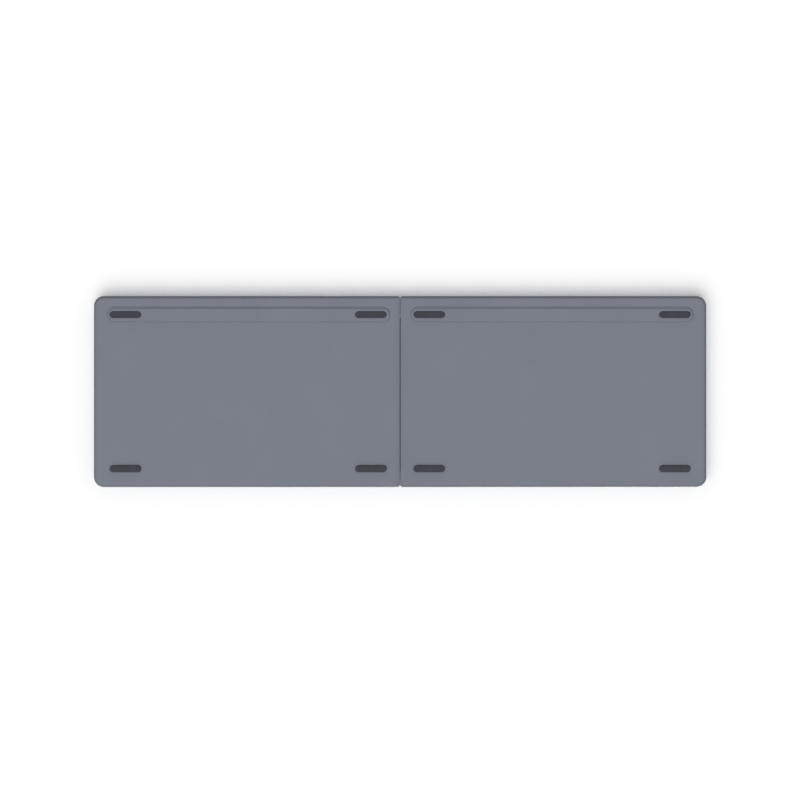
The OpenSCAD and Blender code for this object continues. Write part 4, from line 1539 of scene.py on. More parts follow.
@dataclass
class HingeHalf(HalfAssembly):
    """The knuckles, arms and barrel sleeve of one half.

    Attributes:
        barrel_r: Radius of the barrel.
        bore_r: Radius of the bore.
        bore_edge: Chamfer of the bore at each end.
        chamfer: Chamfer of each end.
        soft: Where the chamfer's middle lies, as shares of it across and along.
        segments: Segments around the barrel.
        knuckle_l: Length of a knuckle.
        neck_z: Lowest and highest height of a neck, from the axis.
        neck_r: Corner radius of a neck.
        neck_round: Rounding of its upper edge.
        tongue_x: Where the sleeve's tongue starts and ends along X.
        neck_x: Where a knuckle's neck starts and ends along X.
        leg: Where the leg under a neck starts and ends along X, and its corner radius.
        leg_drop: How far a leg ends under the top of its neck.
        arm_x: Where a screwed foot starts and ends along X.
        arm_z: Lowest and highest height of a screwed foot.
        arm_reach: How far a screwed foot reaches past its knuckle along Y.
        arm_r: Corner radius of a screwed foot.
        arm_round: Rounding of its edges.
        slack: How much shorter a neck is than its knuckle, at each end.
        arms: Where the knuckles start along Y, on the left half and on the right one.
        sleeves: Where the sleeve starts and ends along Y, on each half.
        tongues: Where the sleeve's tongue starts and ends along Y, on each half.
    """

    barrel_r: float = 2.1
    bore_r: float = 0.85
    bore_edge: float = 0.1
    chamfer: float = 0.22
    soft: Pair = (0.35, 0.18)
    segments: int = 64
    knuckle_l: float = 3.8
    neck_z: Pair = (-1.89, -0.735)
    neck_r: float = 0.3
    neck_round: float = 0.2
    tongue_x: Pair = (1.05, 3.95)
    neck_x: Pair = (1.2, 3.55)
    leg: Triple = (2.55, 3.55, 0.2)
    leg_drop: float = 0.3
    arm_x: Pair = (2.55, 12.4)
    arm_z: Pair = (3.4, 4.2)
    arm_reach: float = 3.0
    arm_r: float = 1.0
    arm_round: float = 0.1
    slack: float = 0.02
    arms: tuple[Pair, Pair] = ((-41.0, 29.45), (-37.0, 33.45))
    sleeves: tuple[Pair, Pair] = ((-33.0, -1.975), (-1.775, 29.25))
    tongues: tuple[Pair, Pair] = ((-20.59, -5.0775), (1.3275, 16.84))

    def barrel(self, y0: float, y1: float) -> Solid:
        """Turns a length of the barrel: a bored cylinder with a chamfer and a soft edge at each end.

        Args:
            y0: Its front end.
            y1: Its rear end.

        Returns:
            The length of barrel, around the fold's axis.
        """
        r, c, b, e = self.barrel_r, self.chamfer, self.bore_r, self.bore_edge
        across, along = (c * share for share in self.soft)
        end = [(b, e), (b + e, 0.0), (r - c, 0.0), (r - across, along), (r, c)]
        profile = [(radius, y0 + at) for radius, at in end]
        profile += [(radius, y1 - at) for radius, at in reversed(end)]
        made = turned(profile, self.segments)
        worn = [0, 0, 0.6, 1, 0.5]
        made.wear = np.repeat(worn + worn[::-1], self.segments).astype(float)
        return made.along(0, 2, 1).moved(z=PLAN.axis_z)

    def solid(self) -> Solid:
        """Draws the half's hinge: barrel lengths, necks down into the casing, and the screwed feet.

        Returns:
            The hinge, drawn on the right.
        """
        low, high = (PLAN.axis_z + z for z in self.neck_z)
        x0, x1, leg_r = self.leg
        own = list(Side).index(self.side)
        tongue = rectangle(*self.tongue_x, *self.tongues[own], self.neck_r)
        parts = [self.barrel(*self.sleeves[own]), post(tongue, low, high, 0, self.neck_round)]
        for y in self.arms[own]:
            end = y + self.knuckle_l
            near, far = y + self.slack, end - self.slack
            neck = rectangle(*self.neck_x, near, far, self.neck_r)
            leg = rectangle(x0, x1, near, far, leg_r)
            arm = rectangle(*self.arm_x, y - self.arm_reach, end + self.arm_reach, self.arm_r)
            parts += [
                self.barrel(y, end),
                post(neck, low, high, 0, self.neck_round),
                post(leg, self.arm_z[0], high - self.leg_drop),
                post(arm, *self.arm_z, self.arm_round, self.arm_round),
            ]
        return joined(parts)

    def build(self) -> None:
        """Makes the piece."""
        self.put("hinge_knuckles", "turned", self.solid(), self.finishes.hinge, "hinge_metal")


# ---------- keys ----------


@dataclass(frozen=True)
class Legend:
    """What is printed on a keycap.

    Attributes:
        text: The letters, or an arrow.
        height: Height of a capital.
        anchor: Where it stands.
    """

    text: str | Arrow
    height: float
    anchor: Anchor = Anchor.CENTRE


# Heights of what is printed: a shifted sign, the plain one under it, a word, an arrow and a letter.
SHIFTED_HEIGHT, PLAIN_HEIGHT, WORD_HEIGHT, ARROW_HEIGHT, LETTER_HEIGHT = 2.6, 3.0, 2.3, 2.6, 4.0


def shifted(upper: str, lower: str) -> tuple[Legend, ...]:
    """The legends of a key with a shifted sign."""
    return Legend(upper, SHIFTED_HEIGHT, Anchor.UPPER), Legend(lower, PLAIN_HEIGHT, Anchor.LOWER)


def word(text: str, right: bool = False) -> tuple[Legend, ...]:
    """The legend of a key that is named by a word, at its left foot or its right one."""
    return (Legend(text, WORD_HEIGHT, Anchor.RIGHT_FOOT if right else Anchor.LEFT_FOOT),)


LEGENDS: dict[str, list[tuple[Legend, ...]]] = {
    "left_number_keys": [shifted(u, d) for u, d in zip("!@#$%^", "123456")],
    "right_number_keys": [shifted(u, d) for u, d in zip("&*()_+", "7890-=")],
    "left_modifier_keys": [word(t) for t in ("esc", "tab", "caps", "shift", "fn", "ctrl", "opt", "alt")],
    "right_function_keys": [
        word("delete", True), word("enter", True), word("shift", True), word("alt"),
        *((Legend(a, ARROW_HEIGHT),) for a in (Arrow.LEFT, Arrow.UP, Arrow.DOWN, Arrow.RIGHT)),
    ],
    "punctuation_keys": [shifted(u, d) for u, d in zip('{}:"<>?', "[];',./")],
    "left_space_key": [()],
    "right_space_key": [()],
}


@dataclass
class Lettering:
    """Turns text into thin closed plates, once for each text.

    Attributes:
        half: Half the thickness of a plate.
        curve_steps: Segments in a letter's curve.
        merge: Distance under which two points of a letter are one.
        arrow_plan: Outline of the arrow that points right, one unit long.
        made: The plates by text.
        capital: Height of a capital at unit type size.
    """

    half: float = 0.5
    curve_steps: int = 3
    merge: float = 1e-5
    arrow_plan: tuple[Pair, ...] = (
        (-0.5, -0.07), (0.08, -0.07), (0.08, -0.34), (0.55, 0), (0.08, 0.34), (0.08, 0.07), (-0.5, 0.07),
    )
    made: dict[str, Solid] = field(default_factory=dict)
    capital: float = field(init=False)

    def __post_init__(self) -> None:
        """Measures a capital, which sets the scale of every text."""
        self.capital = float(np.ptp(self.plate("H").points[:, 1]))

    def plate(self, text: str) -> Solid:
        """Makes a text as a plate of unit type size, centred.

        Args:
            text: The text.

        Returns:
            The plate, the same one each time.
        """
        if text not in self.made:
            curve = bpy.data.curves.new("legend", "FONT")
            curve.body, curve.extrude, curve.resolution_u = text, self.half, self.curve_steps
            holder = bpy.data.objects.new("legend", curve)
            bpy.context.scene.collection.objects.link(holder)
            graph = bpy.context.evaluated_depsgraph_get()
            mesh = bpy.data.meshes.new_from_object(holder.evaluated_get(graph))
            work = bmesh.new()
            work.from_mesh(mesh)
            bmesh.ops.remove_doubles(work, verts=work.verts, dist=self.merge)
            bmesh.ops.triangulate(work, faces=work.faces)
            bmesh.ops.recalc_face_normals(work, faces=work.faces)
            work.to_mesh(mesh)
            work.free()
            points = np.zeros(len(mesh.vertices) * 3, np.float32)
            mesh.vertices.foreach_get("co", points)
            points = points.reshape(-1, 3).astype(float)
            corners = np.zeros(len(mesh.loops), np.int32)
            mesh.loops.foreach_get("vertex_index", corners)
            points[:, :2] -= (points[:, :2].max(0) + points[:, :2].min(0)) / 2
            self.made[text] = Solid(points, [(corners.reshape(-1, 3), False, 0)], np.zeros(len(points)))
            bpy.data.objects.remove(holder)
            bpy.data.curves.remove(curve)
            bpy.data.meshes.remove(mesh)
        return self.made[text]

    def arrow(self, way: Arrow) -> Solid:
        """Makes a cursor arrow as a plate: a shaft and a triangular head, turned by quarter turns.

        Args:
            way: Where it points.

        Returns:
            The plate.
        """
        angle = way.value * np.pi / 2
        turn = np.array([[np.cos(angle), np.sin(angle)], [-np.sin(angle), np.cos(angle)]])
        plan, sketch = np.array(self.arrow_plan) @ turn, Sketch()
        rings = [sketch.ring(plan, z) for z in (-self.half, self.half)]
        sketch.band(*rings, smooth=False)
        return sketch.closed(rings)

    def legend(self, wanted: Legend) -> Solid:
        """Brings a legend's plate to its size in plan.

        Args:
            wanted: The legend.

        Returns:
            The plate in millimetres, its thickness still that of every plate.
        """
        if isinstance(wanted.text, Arrow):
            plate, scale = self.arrow(wanted.text), wanted.height
        else:
            plate, scale = self.plate(wanted.text), wanted.height / self.capital
        return Solid(plate.points * np.array([scale, scale, 1.0]), plate.faces, plate.wear)


@dataclass
class Keycap:
    """One keycap: a skirt, a soft upper edge and a shallow dish, with its legend printed in the dish.

    Attributes:
        box: Its lowest and highest corner.
        legends: What is printed on it.
        homing: True if it has the raised bar that a finger finds.
        corner_r: Corner radius in plan.
        edge_r: Rounding of the upper edge.
        taper: How much narrower the top is, at each side.
        dish: Depth of the dish.
        dish_run: How far from the edge the dish gets level.
        skirt: Wall of the skirt.
        skirt_edge: Chamfer of its lower edge.
        roof: Thickness of the top at its edge.
        margin: Room between a legend and the cap's side.
        ink: Thickness of a legend's plate, half of which stands proud of the dish.
        bar: Length and width of the homing bar.
        bar_y: Where it lies, from the cap's front.
        bar_z: Its lowest and highest height, from the cap's top.
        bar_round: Rounding of its upper edge.
    """

    box: np.ndarray
    legends: tuple[Legend, ...] = ()
    homing: bool = False
    corner_r: float = 1.2
    edge_r: float = 0.38
    taper: float = 0.16
    dish: float = 0.20
    dish_run: float = 4.2
    skirt: float = 0.8
    skirt_edge: float = 0.06
    roof: float = 0.8
    margin: float = 1.9
    ink: float = 0.05
    bar: Pair = (3.4, 0.7)
    bar_y: float = 2.9
    bar_z: Pair = (-0.4, 0.08)
    bar_round: float = 0.2

    def sunk(self, share: float | np.ndarray) -> float | np.ndarray:
        """Height of the dish at a share t of its run from its edge: top - dish (1 - (1 - t)^2)."""
        return self.box[1, 2] - self.dish * (1 - (1 - share) ** 2)

    def surface(self, x: np.ndarray, y: np.ndarray) -> np.ndarray:
        """Works out the height of the dish, from the distance to the nearest side of its edge.

        Args:
            x: Places along X.
            y: Places along Y.

        Returns:
            The height at each place.
        """
        (x0, y0, _), (x1, y1, _) = self.box
        near = np.minimum(np.minimum(x - x0, x1 - x), np.minimum(y - y0, y1 - y))
        return self.sunk(np.clip((near - (self.taper + self.edge_r)) / self.dish_run, 0, 1))

    def cap(self) -> Solid:
        """Draws the cap: down the inside of the skirt, up its outside, over the edge and into the dish.

        Returns:
            The cap.
        """
        (x0, y0, z0), (x1, y1, top) = self.box
        outline, sketch = rectangle(x0, x1, y0, y1, self.corner_r, 5), Sketch()
        skirt, edge = self.skirt, self.skirt_edge
        stations = [(skirt, top - self.roof), (skirt, z0), (edge, z0), (0, z0 + edge)]
        stations += quarter(self.edge_r, 4, self.taper, top, False)
        worn = [0, 0, 0, 0, 0, 0.6, 1, 0.8, 0.5]
        for share, wear in ((0.1, 0.35), (0.3, 0.4), (0.6, 0.6), (1, 0.8)):
            stations.append((self.taper + self.edge_r + self.dish_run * share, self.sunk(share)))
            worn.append(wear)
        return sketch.closed(sketch.path(outline, stations, worn))

    def printed(self, lettering: Lettering) -> list[Solid]:
        """Lays each legend in the dish, so that half of its plate stands proud of it.

        Args:
            lettering: The maker of plates.

        Returns:
            The plates.
        """
        (x0, y0, _), (x1, y1, _) = self.box
        made = []
        for wanted in self.legends:
            plate = lettering.legend(wanted)
            across, up = wanted.anchor.value
            half = np.ptp(plate.points[:, 0]) / 2
            room = (x1 - x0) / 2 - self.margin - half
            x = (x0 + x1) / 2 + across * room
            y = (y0 + y1) / 2 + up * (y1 - y0) / 2
            points = plate.points + np.array([x, y, 0.0])
            points[:, 2] = self.surface(points[:, 0], points[:, 1]) + plate.points[:, 2] * self.ink
            made.append(Solid(points, plate.faces, plate.wear).finished(1))
        return made

    def homing_bar(self) -> Solid:
        """Draws the low raised bar near the front of the dish.

        Returns:
            The bar.
        """
        (x0, y0, _), (x1, _, top) = self.box
        low, high = (top + z for z in self.bar_z)
        outline = stadium((x0 + x1) / 2, y0 + self.bar_y, *self.bar, 8)
        return post(outline, low, high, 0, self.bar_round, 3)

    def solids(self, lettering: Lettering) -> list[Solid]:
        """The cap, its homing bar if it has one, and its legends."""
        return [self.cap(), *([self.homing_bar()] if self.homing else []), *self.printed(lettering)]


def carried(node: bpy.types.Object) -> Solid:
    """Reads a node's mesh as a solid in millimetres, with one point at each place.

    Args:
        node: The node, which stays as it is.

    Returns:
        The solid, of triangles.
    """
    mesh = node.data
    points = np.zeros(len(mesh.vertices) * 3, np.float32)
    mesh.vertices.foreach_get("co", points)
    mesh.calc_loop_triangles()
    triangles = np.zeros(len(mesh.loop_triangles) * 3, np.int32)
    mesh.loop_triangles.foreach_get("vertices", triangles)
    places = np.round(points.reshape(-1, 3) / MM, PLACE_DECIMALS)
    places, same = np.unique(places, axis=0, return_inverse=True)
    return Solid(places, [(same.ravel()[triangles.reshape(-1, 3)], False, 0)], np.zeros(len(places)))


def parts_of(solid: Solid) -> list[np.ndarray]:
    """Finds the connected parts of a solid made of triangles.

    Each point's label starts as its own number, and every triangle gives its three points the lowest of
    their labels, until none changes.

    Args:
        solid: The solid.

    Returns:
        The parts' boxes, each a lowest and a highest corner, by rows from the rear, left to right.
    """
    corners, points = solid.faces[0][0], solid.points
    label = np.arange(len(points))
    while True:
        new = label.copy()
        np.minimum.at(new, corners.ravel(), np.repeat(label[corners].min(1), 3))
        if np.array_equal(new, label):
            break
        label = new
    boxes = [np.array([points[label == k].min(0), points[label == k].max(0)]) for k in np.unique(label)]
    return sorted(boxes, key=lambda b: (-round(float(b[1, 1])), float(b[0, 0])))


@dataclass
class KeyBlock(Assembly):
    """The keycaps that move as one: a letter, or a block of digits, signs or function keys.

    Attributes:
        node: The solid that the block stands for.
        boxes: The box of each keycap.
    """

    node: str
    boxes: list[np.ndarray]

    @property
    def body(self) -> str:
        """The moving body that carries the block."""
        return self.node + ("_caps" if self.node.endswith("_keys") else "_cap")

    def legends(self) -> list[tuple[Legend, ...]]:
        """Looks up what is printed on each keycap.

        Returns:
            The legends of each cap, in the order of the boxes.
        """
        if self.node in LEGENDS:
            return LEGENDS[self.node]
        return [(Legend(self.node[-1].upper(), LETTER_HEIGHT),)]

    def build(self, lettering: Lettering) -> None:
        """Makes the block as one piece, with its legends.

        Args:
            lettering: The maker of plates.
        """
        homing = self.node in ("key_f", "key_j")
        parts = [
            part
            for box, legends in zip(self.boxes, self.legends(), strict=True)
            for part in Keycap(box, legends, homing).solids(lettering)
        ]
        made = piece(self.node + "_moulded", joined(parts), [self.finishes.keycap, self.finishes.legend])
        place(made, self.body, "keycap", self.node)


@dataclass
class KeySprings(Assembly):
    """The rubber domes and scissor links under a block. Both stay on the casing.

    Attributes:
        block: The block that presses them.
        links: The boxes of every scissor link of the keyboard.
        foot_z: Height that the domes stand at.
        dome: The dome's profile, as radius and height over its foot.
        segments: Segments around a dome.
        link_l: Length of a link before it leans.
        link_t: Thickness of a link.
        link_bar: Width of a link's bars.
        link_rise: How far a link's end lies over or under its middle.
        link_edge: Chamfer of a link's edges.
        link_r: Corner radius of a link, outside and inside.
        link_wear: Wear of a link's outside.
        outer_from: Links wider than this are outer ones, and lean the other way.
        keep: Share of its height that each keeps under a pressed key; not used.
    """

    block: KeyBlock
    links: list[np.ndarray]
    foot_z: float = 4.9
    dome: tuple[Pair, ...] = (
        (2.7, 0), (2.7, 0.14), (2.45, 0.26), (1.72, 1.62), (1.58, 2.02), (1.42, 2.16), (0.86, 2.16),
        (0.7, 2.02), (0.7, 0.85), (1.02, 0.85), (1.3, 1.28), (2.2, 0.22), (2.32, 0),
    )
    segments: int = 16
    link_l: float = 9.6
    link_t: float = 0.7
    link_bar: float = 0.9
    link_rise: float = 0.65
    link_edge: float = 0.12
    link_r: Pair = (0.5, 0.3)
    link_wear: float = 0.5
    outer_from: float = 11.0
    keep: float = 0.4

    def domes(self) -> list[Solid]:
        """Turns a dome under the middle of each keycap: a flared foot, a thin cone and a tubular top."""
        made = turned(self.dome, self.segments)
        return [made.moved(*box[:, :2].mean(0), self.foot_z) for box in self.block.boxes]

    def link(self, box: np.ndarray) -> Solid:
        """Draws a link: a chamfered ring that leans about its middle by asin(rise / half its length).

        Args:
            box: The lowest and highest corner of the link's place.

        Returns:
            The link.
        """
        sketch = Sketch()
        half_w, half_l, half_t = np.ptp(box[:, 0]) / 2, self.link_l / 2, self.link_t / 2
        bar, edge = self.link_bar, self.link_edge
        outline = tile(0, 0, half_w, half_l, self.link_r[0], 1)
        hole = tile(0, 0, half_w - bar, half_l - bar, self.link_r[1], 1)
        rising = [(edge, -half_t), (0, edge - half_t), (0, half_t - edge), (edge, half_t)]
        outside = sketch.path(outline, rising, [self.link_wear] * 4)
        inside = sketch.path(hole, [(-edge, half_t), (0, half_t - edge), (0, -half_t)])
        sketch.fill(outside[-1], [inside[0]], up=True)
        sketch.fill(outside[0], [inside[-1]], up=False)
        lean = np.arcsin(self.link_rise / half_l) * np.sign(2 * half_w - self.outer_from)
        turn = np.array([[1, 0, 0], [0, np.cos(lean), np.sin(lean)], [0, -np.sin(lean), np.cos(lean)]])
        ring = sketch.solid()
        return Solid(ring.points @ turn, ring.faces, ring.wear).moved(*box.mean(0))

    def under(self, link: np.ndarray) -> bool:
        """Whether a link's middle lies under one of the block's keycaps."""
        x, y = link[:, :2].mean(0)
        return any(b[0, 0] < x < b[1, 0] and b[0, 1] < y < b[1, 1] for b in self.block.boxes)

    def build(self) -> None:
        """Makes the domes as one piece and the links as another."""
        side = Side(int(np.sign(self.block.boxes[0][:, 0].mean())))
        leaning = [self.link(box) for box in self.links if self.under(box)]
        for name, solids, finish, slot, stands_for in (
            ("domes", self.domes(), self.finishes.dome, "dome_rubber", "dome_sheet"),
            ("links", leaning, self.finishes.link, "link_plastic", "scissor_links"),
        ):
            made = piece(f"{self.block.node}_{name}", joined(solids), [finish])
            place(made, side.body, slot, f"{side.word}_{stands_for}")
            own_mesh(made)


@dataclass
class DomeSheet(HalfAssembly):
    """The rubber sheet of one half that the domes stand on, with its holes for the posts.

    Attributes:
        top: Height of its upper side.
    """

    top: float = 4.9

    def build(self, nodes: dict[str, bpy.types.Object]) -> None:
        """Makes the sheet: the node's own shape with everything over its upper side pressed flat.

        Args:
            nodes: Every node by name.
        """
        node = f"{self.side.word}_dome_sheet"
        sheet = carried(nodes[node])
        sheet.points[:, 2] = np.minimum(sheet.points[:, 2], self.top)
        place(piece(f"{node}_film", sheet, [self.finishes.dome]), self.side.body, "dome_rubber", node)


# ---------- the rear edge ----------


@dataclass
class ChargingSocket(Assembly):
    """The charging socket: a drawn steel shell with a rolled lip, and its tongue with contacts.

    Attributes:
        y0: Its back.
        y1: Its mouth.
        width: Width of the shell.
        height: Height of the shell.
        sheet: Thickness of the shell.
        ground: How far over the back the shell's inside ends.
        insert: Where the plastic insert starts and ends, over the back.
        insert_gap: How much narrower and lower than the shell the insert is.
        tongue: Half the tongue's width, and half its thickness.
        tongue_r: Corner radius of the tongue.
        tongue_round: Rounding of its front edge.
        tongue_y: Its front.
        strip: Half a contact's width, half its thickness, and its corner radius.
        strip_y: Where a contact starts and ends along Y.
        strip_z: How far a contact's middle lies over or under the tongue's.
        strips: Contacts on each face.
        strip_span: Distance of the outermost contacts from the middle.
    """

    y0: float = 40.45
    y1: float = 47.15
    width: float = 8.94
    height: float = 3.16
    sheet: float = 0.3
    ground: float = 1.0
    insert: Pair = (0.9, 1.5)
    insert_gap: float = 0.7
    tongue: Pair = (3.35, 0.35)
    tongue_r: float = 0.2
    tongue_round: float = 0.15
    tongue_y: float = 46.05
    strip: Triple = (0.13, 0.04, 0.02)
    strip_y: Pair = (42.2, 45.6)
    strip_z: float = 0.355
    strips: int = 12
    strip_span: float = 2.75

    def drawn(self) -> Solid:
        """Draws the shell: up its outside, round the rolled lip and down its inside.

        With angle a from 0 to 180 degrees, the lip passes (r - r cos a, y1 - r + r sin a), where r is
        half the sheet's thickness.

        Returns:
            The shell, its mouth up.
        """
        sketch, lip = Sketch(), self.sheet / 2
        angles = np.linspace(0, np.pi, 7)
        rolled = [(float(lip - lip * np.cos(a)), float(self.y1 - lip + lip * np.sin(a))) for a in angles]
        stations = [(0, self.y0), *rolled, (self.sheet, self.y0 + self.ground)]
        outline = stadium(*PLAN.port, self.width, self.height, 14)
        return sketch.closed(sketch.path(outline, stations))

    def inside(self) -> list[Solid]:
        """Draws the plastic insert with its tongue, and the contacts on both faces of the tongue.

        Returns:
            The insert, the tongue and the contacts, their fronts up.
        """
        x, z = PLAN.port
        start, end = (self.y0 + at for at in self.insert)
        tongue = post(
            tile(x, z, *self.tongue, self.tongue_r), start, self.tongue_y, 0, self.tongue_round, 3
        )
        outline = stadium(x, z, self.width - self.insert_gap, self.height - self.insert_gap, 10)
        strips = [
            post(tile(at, face, *self.strip, 1), *self.strip_y)
            for at in x + np.linspace(-self.strip_span, self.strip_span, self.strips)
            for face in (z - self.strip_z, z + self.strip_z)
        ]
        plastic = [tongue.finished(1), post(outline, start, end).finished(1)]
        return plastic + [strip.finished(2) for strip in strips]

    def build(self) -> None:
        """Makes the shell and its insert as one piece."""
        made = piece(
            "usb_c_socket_drawn", joined(s.along(0, 2, 1) for s in (self.drawn(), *self.inside())),
            [self.finishes.socket, self.finishes.tongue, self.finishes.gold],
        )
        place(made, "right_half", "socket_steel", "usb_c_socket")


@dataclass
class SwitchKnob(Assembly):
    """The sliding power switch: a rounded block with five grip ridges, on its stem.

    Attributes:
        x: Its middle.
        z: Its middle.
        half: Half its length along X, and half its height along Z.
        corner_r: Radius of its corners.
        edge_r: Rounding of its face's edge.
        y0: Its back.
        y1: Its face, ridges included.
        proud: How far the ridges stand out of the block.
        ridge: Half a ridge's width and height, and its corner radius.
        ridge_root: How deep a ridge reaches into the block.
        ridge_round: Rounding of a ridge.
        ridges: How many ridges there are.
        ridge_span: Distance of the outermost ridges from the middle.
        stem: Half the stem's width and height, and its corner radius.
        stem_y: Where the stem starts.
        stem_root: How far under the block's face the stem ends.
    """

    x: float = 52.0
    z: float = 4.6
    half: Pair = (2.0, 1.0)
    corner_r: float = 0.35
    edge_r: float = 0.2
    y0: float = 46.85
    y1: float = 47.65
    proud: float = 0.18
    ridge: Triple = (0.16, 0.75, 0.14)
    ridge_root: float = 0.2
    ridge_round: float = 0.13
    ridges: int = 5
    ridge_span: float = 1.2
    stem: Triple = (0.8, 0.5, 0.15)
    stem_y: float = 44.7
    stem_root: float = 0.1

    def build(self) -> None:
        """Makes the knob."""
        face = self.y1 - self.proud
        solids = [post(tile(self.x, self.z, *self.half, self.corner_r), self.y0, face, 0, self.edge_r)]
        solids += [
            post(tile(x, self.z, *self.ridge, 4), face - self.ridge_root, self.y1, 0, self.ridge_round, 3)
            for x in self.x + np.linspace(-self.ridge_span, self.ridge_span, self.ridges)
        ]
        solids.append(post(tile(self.x, self.z, *self.stem), self.stem_y, face - self.stem_root))
        knob = joined(s.along(0, 2, 1) for s in solids)
        made = piece("power_switch_knob_ridged", knob, [self.finishes.knob])
        place(made, "power_knob", "knob_plastic", "power_switch_knob")


@dataclass
class StatusLight(Assembly):
    """The lens of the status light: a low dome in its hole.

    Attributes:
        width: Width of the lens.
        low: Its lowest height.
        high: Its highest height.
        edge_r: Rounding of its upper edge.
    """

    width: float = 1.68
    low: float = 7.6
    high: float = 8.08
    edge_r: float = 0.22

    def build(self) -> None:
        """Makes the lens."""
        lens = post(disc(*PLAN.light, self.width, 14), self.low, self.high, 0, self.edge_r, 5)
        place(piece("status_light_lens", lens, [self.finishes.lens]), "right_half", "board")


# ---------- what stays as the solids have it ----------


def dress(nodes: dict[str, bpy.types.Object], finishes: Finishes) -> None:
    """Gives the carried-over nodes their finishes.

    Args:
        nodes: Every node by name.
        finishes: The finishes.
    """
    by_part = {
        "support_plate": finishes.plate, "membrane": finishes.film, "screws": finishes.fastener,
        "hinge_cable": finishes.cable, "magnets": finishes.magnet,
    }
    wanted = {f"{side.word}_{part}": finish for side in Side for part, finish in by_part.items()}
    wanted |= {"hinge_pins": finishes.fastener, "battery": finishes.foil, "main_board": finishes.board}
    for name, finish in wanted.items():
        mesh = nodes[name].data
        mesh.materials.clear()
        mesh.materials.append(finish)
        LOG.info("%s: kept, in %s", name, finish.name)


# ---------- the studio ----------


@dataclass(frozen=True)
class Lamp:
    """A broad lamp that shines along a direction.

    Attributes:
        name: Its name.
        towards: Where it shines to.
        strength: Its strength.
        spread: Its angular size, in degrees.
    """

    name: str
    towards: Triple
    strength: float
    spread: float

    def build(self) -> None:
        """Makes the lamp."""
        lamp = bpy.data.lights.new(self.name, "SUN")
        lamp.energy, lamp.angle = self.strength, float(np.radians(self.spread))
        holder = bpy.data.objects.new(self.name, lamp)
        holder.rotation_mode = "QUATERNION"
        holder.rotation_quaternion = Vector(self.towards).to_track_quat("-Z", "Y")
        bpy.context.scene.collection.objects.link(holder)


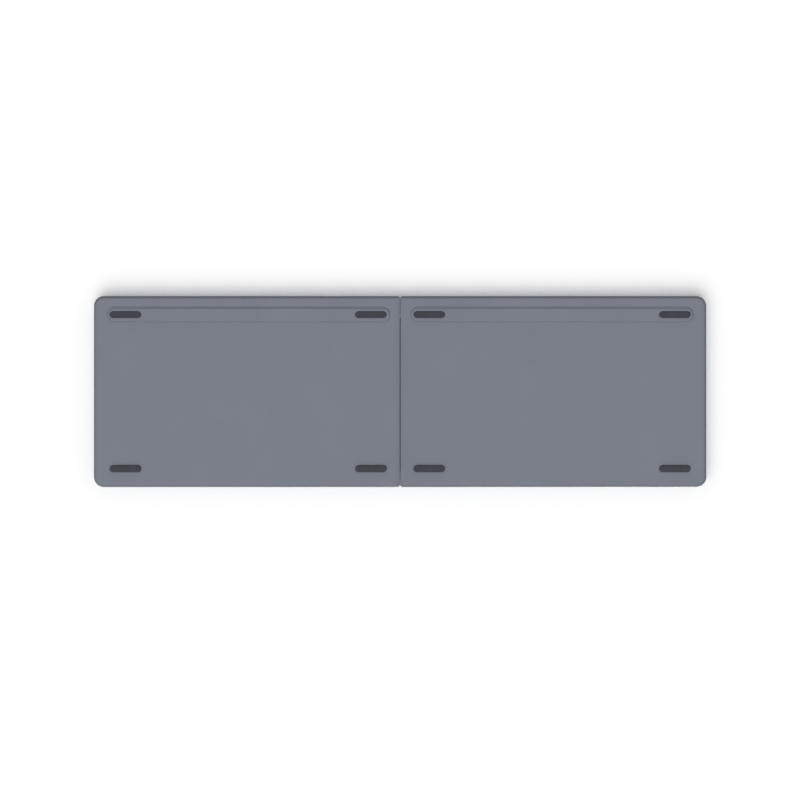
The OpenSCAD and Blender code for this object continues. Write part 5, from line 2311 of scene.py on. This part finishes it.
@dataclass
class Studio:
    """The floor, the backdrop, the light and the camera.

    Attributes:
        floor_tone: Colour of the floor.
        fade: Where the floor starts and ends fading to white, in metres from the middle.
        ambient: Strength of the light from all round.
        sheet_z: Height of the backdrop that the open keyboard lies against, seen from below.
        glow: Strength of the backdrop's own light.
        mottle: The backdrop's pattern.
        tones: Its darkest and palest grey.
        size: Length of the floor's and the backdrop's sides, in metres.
        lens: Focal length of the camera.
        sensor: Width of its sensor.
        half_view: Half the width that it sees at the origin's height, in metres.
        aim: The point under which it stands, in metres.
        nearer: Its distance as a share of the one that the view asks for.
        clip: The nearest and furthest distance that it sees, in metres.
        lamps: The two lamps.
    """

    floor_tone: float = 0.86
    fade: Pair = (0.22, 0.75)
    ambient: float = 0.42
    sheet_z: float = 10.4
    glow: float = 0.14
    mottle: Noise = Noise(40.0)
    tones: Pair = (0.90, 0.905)
    size: float = 12.0
    lens: float = 135.0
    sensor: float = 36.0
    half_view: float = 0.2
    aim: Triple = (0.00006, -0.00422, 0.0029)
    nearer: float = 0.9995
    clip: Pair = (0.05, 50.0)
    lamps: tuple[Lamp, ...] = (
        Lamp("from_below_front", (-0.20, 0.55, 1.0), 2.0, 60.0),
        Lamp("from_above_front", (0.35, 0.55, -1.0), 2.05, 30.0),
    )

    def sheet(self, name: str, z: float, up: bool) -> tuple[bpy.types.Object, Nodes]:
        """Makes a square sheet that only the camera sees, and only from its front.

        Args:
            name: The sheet's name.
            z: Its height.
            up: True if it faces up.

        Returns:
            The sheet and its nodes, whose shader is what the camera sees.
        """
        half = self.size / 2 / MM
        sketch = Sketch()
        corners = np.array([(-half, -half), (half, -half), (half, half), (-half, half)], float)
        ring = sketch.ring(corners if up else corners[::-1], z)
        sketch.faces.append((ring[None], False, 0))
        n = Nodes(name)
        made = piece(name, sketch.solid(), [n.material])
        output = next(x for x in n.tree.nodes if x.type == "OUTPUT_MATERIAL")
        light, side = n.add("ShaderNodeLightPath"), n.add("ShaderNodeNewGeometry")
        front = n.math("SUBTRACT", light.outputs["Is Camera Ray"], side.outputs["Backfacing"])
        seen = n.add("ShaderNodeMixShader")
        n.link(n.math("MAXIMUM", front, 0.0), seen.inputs[0])
        n.link(n.add("ShaderNodeBsdfTransparent").outputs[0], seen.inputs[1])
        n.link(n.shader.outputs[0], seen.inputs[2])
        n.link(seen.outputs[0], output.inputs["Surface"])
        n.set(Roughness=0.9, Specular_IOR_Level=0.0)
        return made, n

    def floor(self) -> None:
        """The floor that the feet stand on: pale, keeping the shadow, and white further away."""
        _, n = self.sheet("floor", 0.0, True)
        far = n.add("ShaderNodeVectorMath", operation="LENGTH")
        n.link(n.place, far.inputs[0])
        share = n.ramp(far.outputs["Value"], *self.fade)
        n.to("Base Color", n.blend(share, (self.floor_tone,) * 3, (0.0, 0.0, 0.0)))
        n.set(Emission_Color=(1.0, 1.0, 1.0, 1.0))
        n.to("Emission Strength", share)

    def backdrop(self) -> None:
        """The white sheet behind the open keyboard, seen from below."""
        _, n = self.sheet("backdrop", self.sheet_z, False)
        dark, pale = ((tone,) * 3 for tone in self.tones)
        n.to("Base Color", n.blend(n.noise(self.mottle), dark, pale))
        n.set(Emission_Color=(1.0, 1.0, 1.0, 1.0), Emission_Strength=self.glow)

    def world(self) -> None:
        """Even light from all round, and white where the camera looks past the object."""
        world = bpy.data.worlds.new("studio")
        bpy.context.scene.world = world
        world.use_nodes = True
        tree = world.node_tree
        back = next(n for n in tree.nodes if n.type == "BACKGROUND")
        light = tree.nodes.new("ShaderNodeLightPath")
        strength = tree.nodes.new("ShaderNodeMapRange")
        seen = light.outputs["Is Camera Ray"]
        for kind in ("Is Transmission Ray", "Is Glossy Ray"):
            either = tree.nodes.new("ShaderNodeMath")
            either.operation = "MAXIMUM"
            tree.links.new(seen, either.inputs[0])
            tree.links.new(light.outputs[kind], either.inputs[1])
            seen = either.outputs[0]
        tree.links.new(seen, strength.inputs["Value"])
        strength.inputs["To Min"].default_value = self.ambient
        strength.inputs["To Max"].default_value = 1.0
        tree.links.new(strength.outputs[0], back.inputs["Strength"])
        back.inputs["Color"].default_value = (1, 1, 1, 1)

    def camera(self) -> None:
        """Looks straight up at the underside, with the rear edge at the top of the frame."""
        data = bpy.data.cameras.new("camera")
        data.type, data.lens, data.sensor_width = "PERSP", self.lens, self.sensor
        data.clip_start, data.clip_end = self.clip
        camera = bpy.data.objects.new("camera", data)
        distance = self.half_view * self.lens / (self.sensor / 2)
        turn = Matrix(((-1, 0, 0), (0, 1, 0), (0, 0, -1))).to_4x4()
        x, y, z = self.aim
        camera.matrix_world = Matrix.Translation((x, y, z - distance * self.nearer)) @ turn
        bpy.context.scene.collection.objects.link(camera)
        bpy.context.scene.camera = camera

    def build(self) -> None:
        """Sets up the whole studio."""
        bpy.context.scene.view_settings.view_transform = "Standard"
        self.world()
        self.floor()
        self.backdrop()
        for lamp in self.lamps:
            lamp.build()
        self.camera()
        LOG.info("studio: floor, backdrop, two lamps and the camera")


def spans(boxes: Iterable[np.ndarray], side: Side) -> list[Box]:
    """Picks the keycaps of one half.

    Args:
        boxes: Boxes of keycaps, each a lowest and a highest corner.
        side: The half.

    Returns:
        The plan of each keycap on that half as (x0, x1, y0, y1), drawn on the right.
    """
    mine = [b for b in boxes if np.sign(b[:, 0].sum()) == side.value]
    return [(*sorted((b[:, 0] * side.value).tolist()), *b[:, 1].tolist()) for b in mine]


def main() -> None:
    """Builds the keyboard on its frame, part by part, and the studio around it."""
    logging.basicConfig(level=logging.INFO, format="%(name)s: %(message)s")
    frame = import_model()
    nodes = frame["nodes"]
    finishes, lettering = Finishes(), Lettering()
    keys = [n for n in nodes if n.startswith("key_") or n.endswith(("_keys", "_key"))]
    boxes = {name: parts_of(carried(nodes[name])) for name in keys}
    links = [box for side in Side for box in parts_of(carried(nodes[f"{side.word}_scissor_links"]))]
    for side in Side:
        BottomShell(finishes, side).build()
        TopFrame(finishes, side, spans(chain.from_iterable(boxes.values()), side)).build()
        FootSet(finishes, side).build()
        HingeHalf(finishes, side).build()
        DomeSheet(finishes, side).build(nodes)
    for name in keys:
        block = KeyBlock(finishes, name, boxes[name])
        block.build(lettering)
        KeySprings(finishes, block, links).build()
    ChargingSocket(finishes).build()
    SwitchKnob(finishes).build()
    StatusLight(finishes).build()
    dress(nodes, finishes)
    Studio().build()


if __name__ == "__main__":
    main()
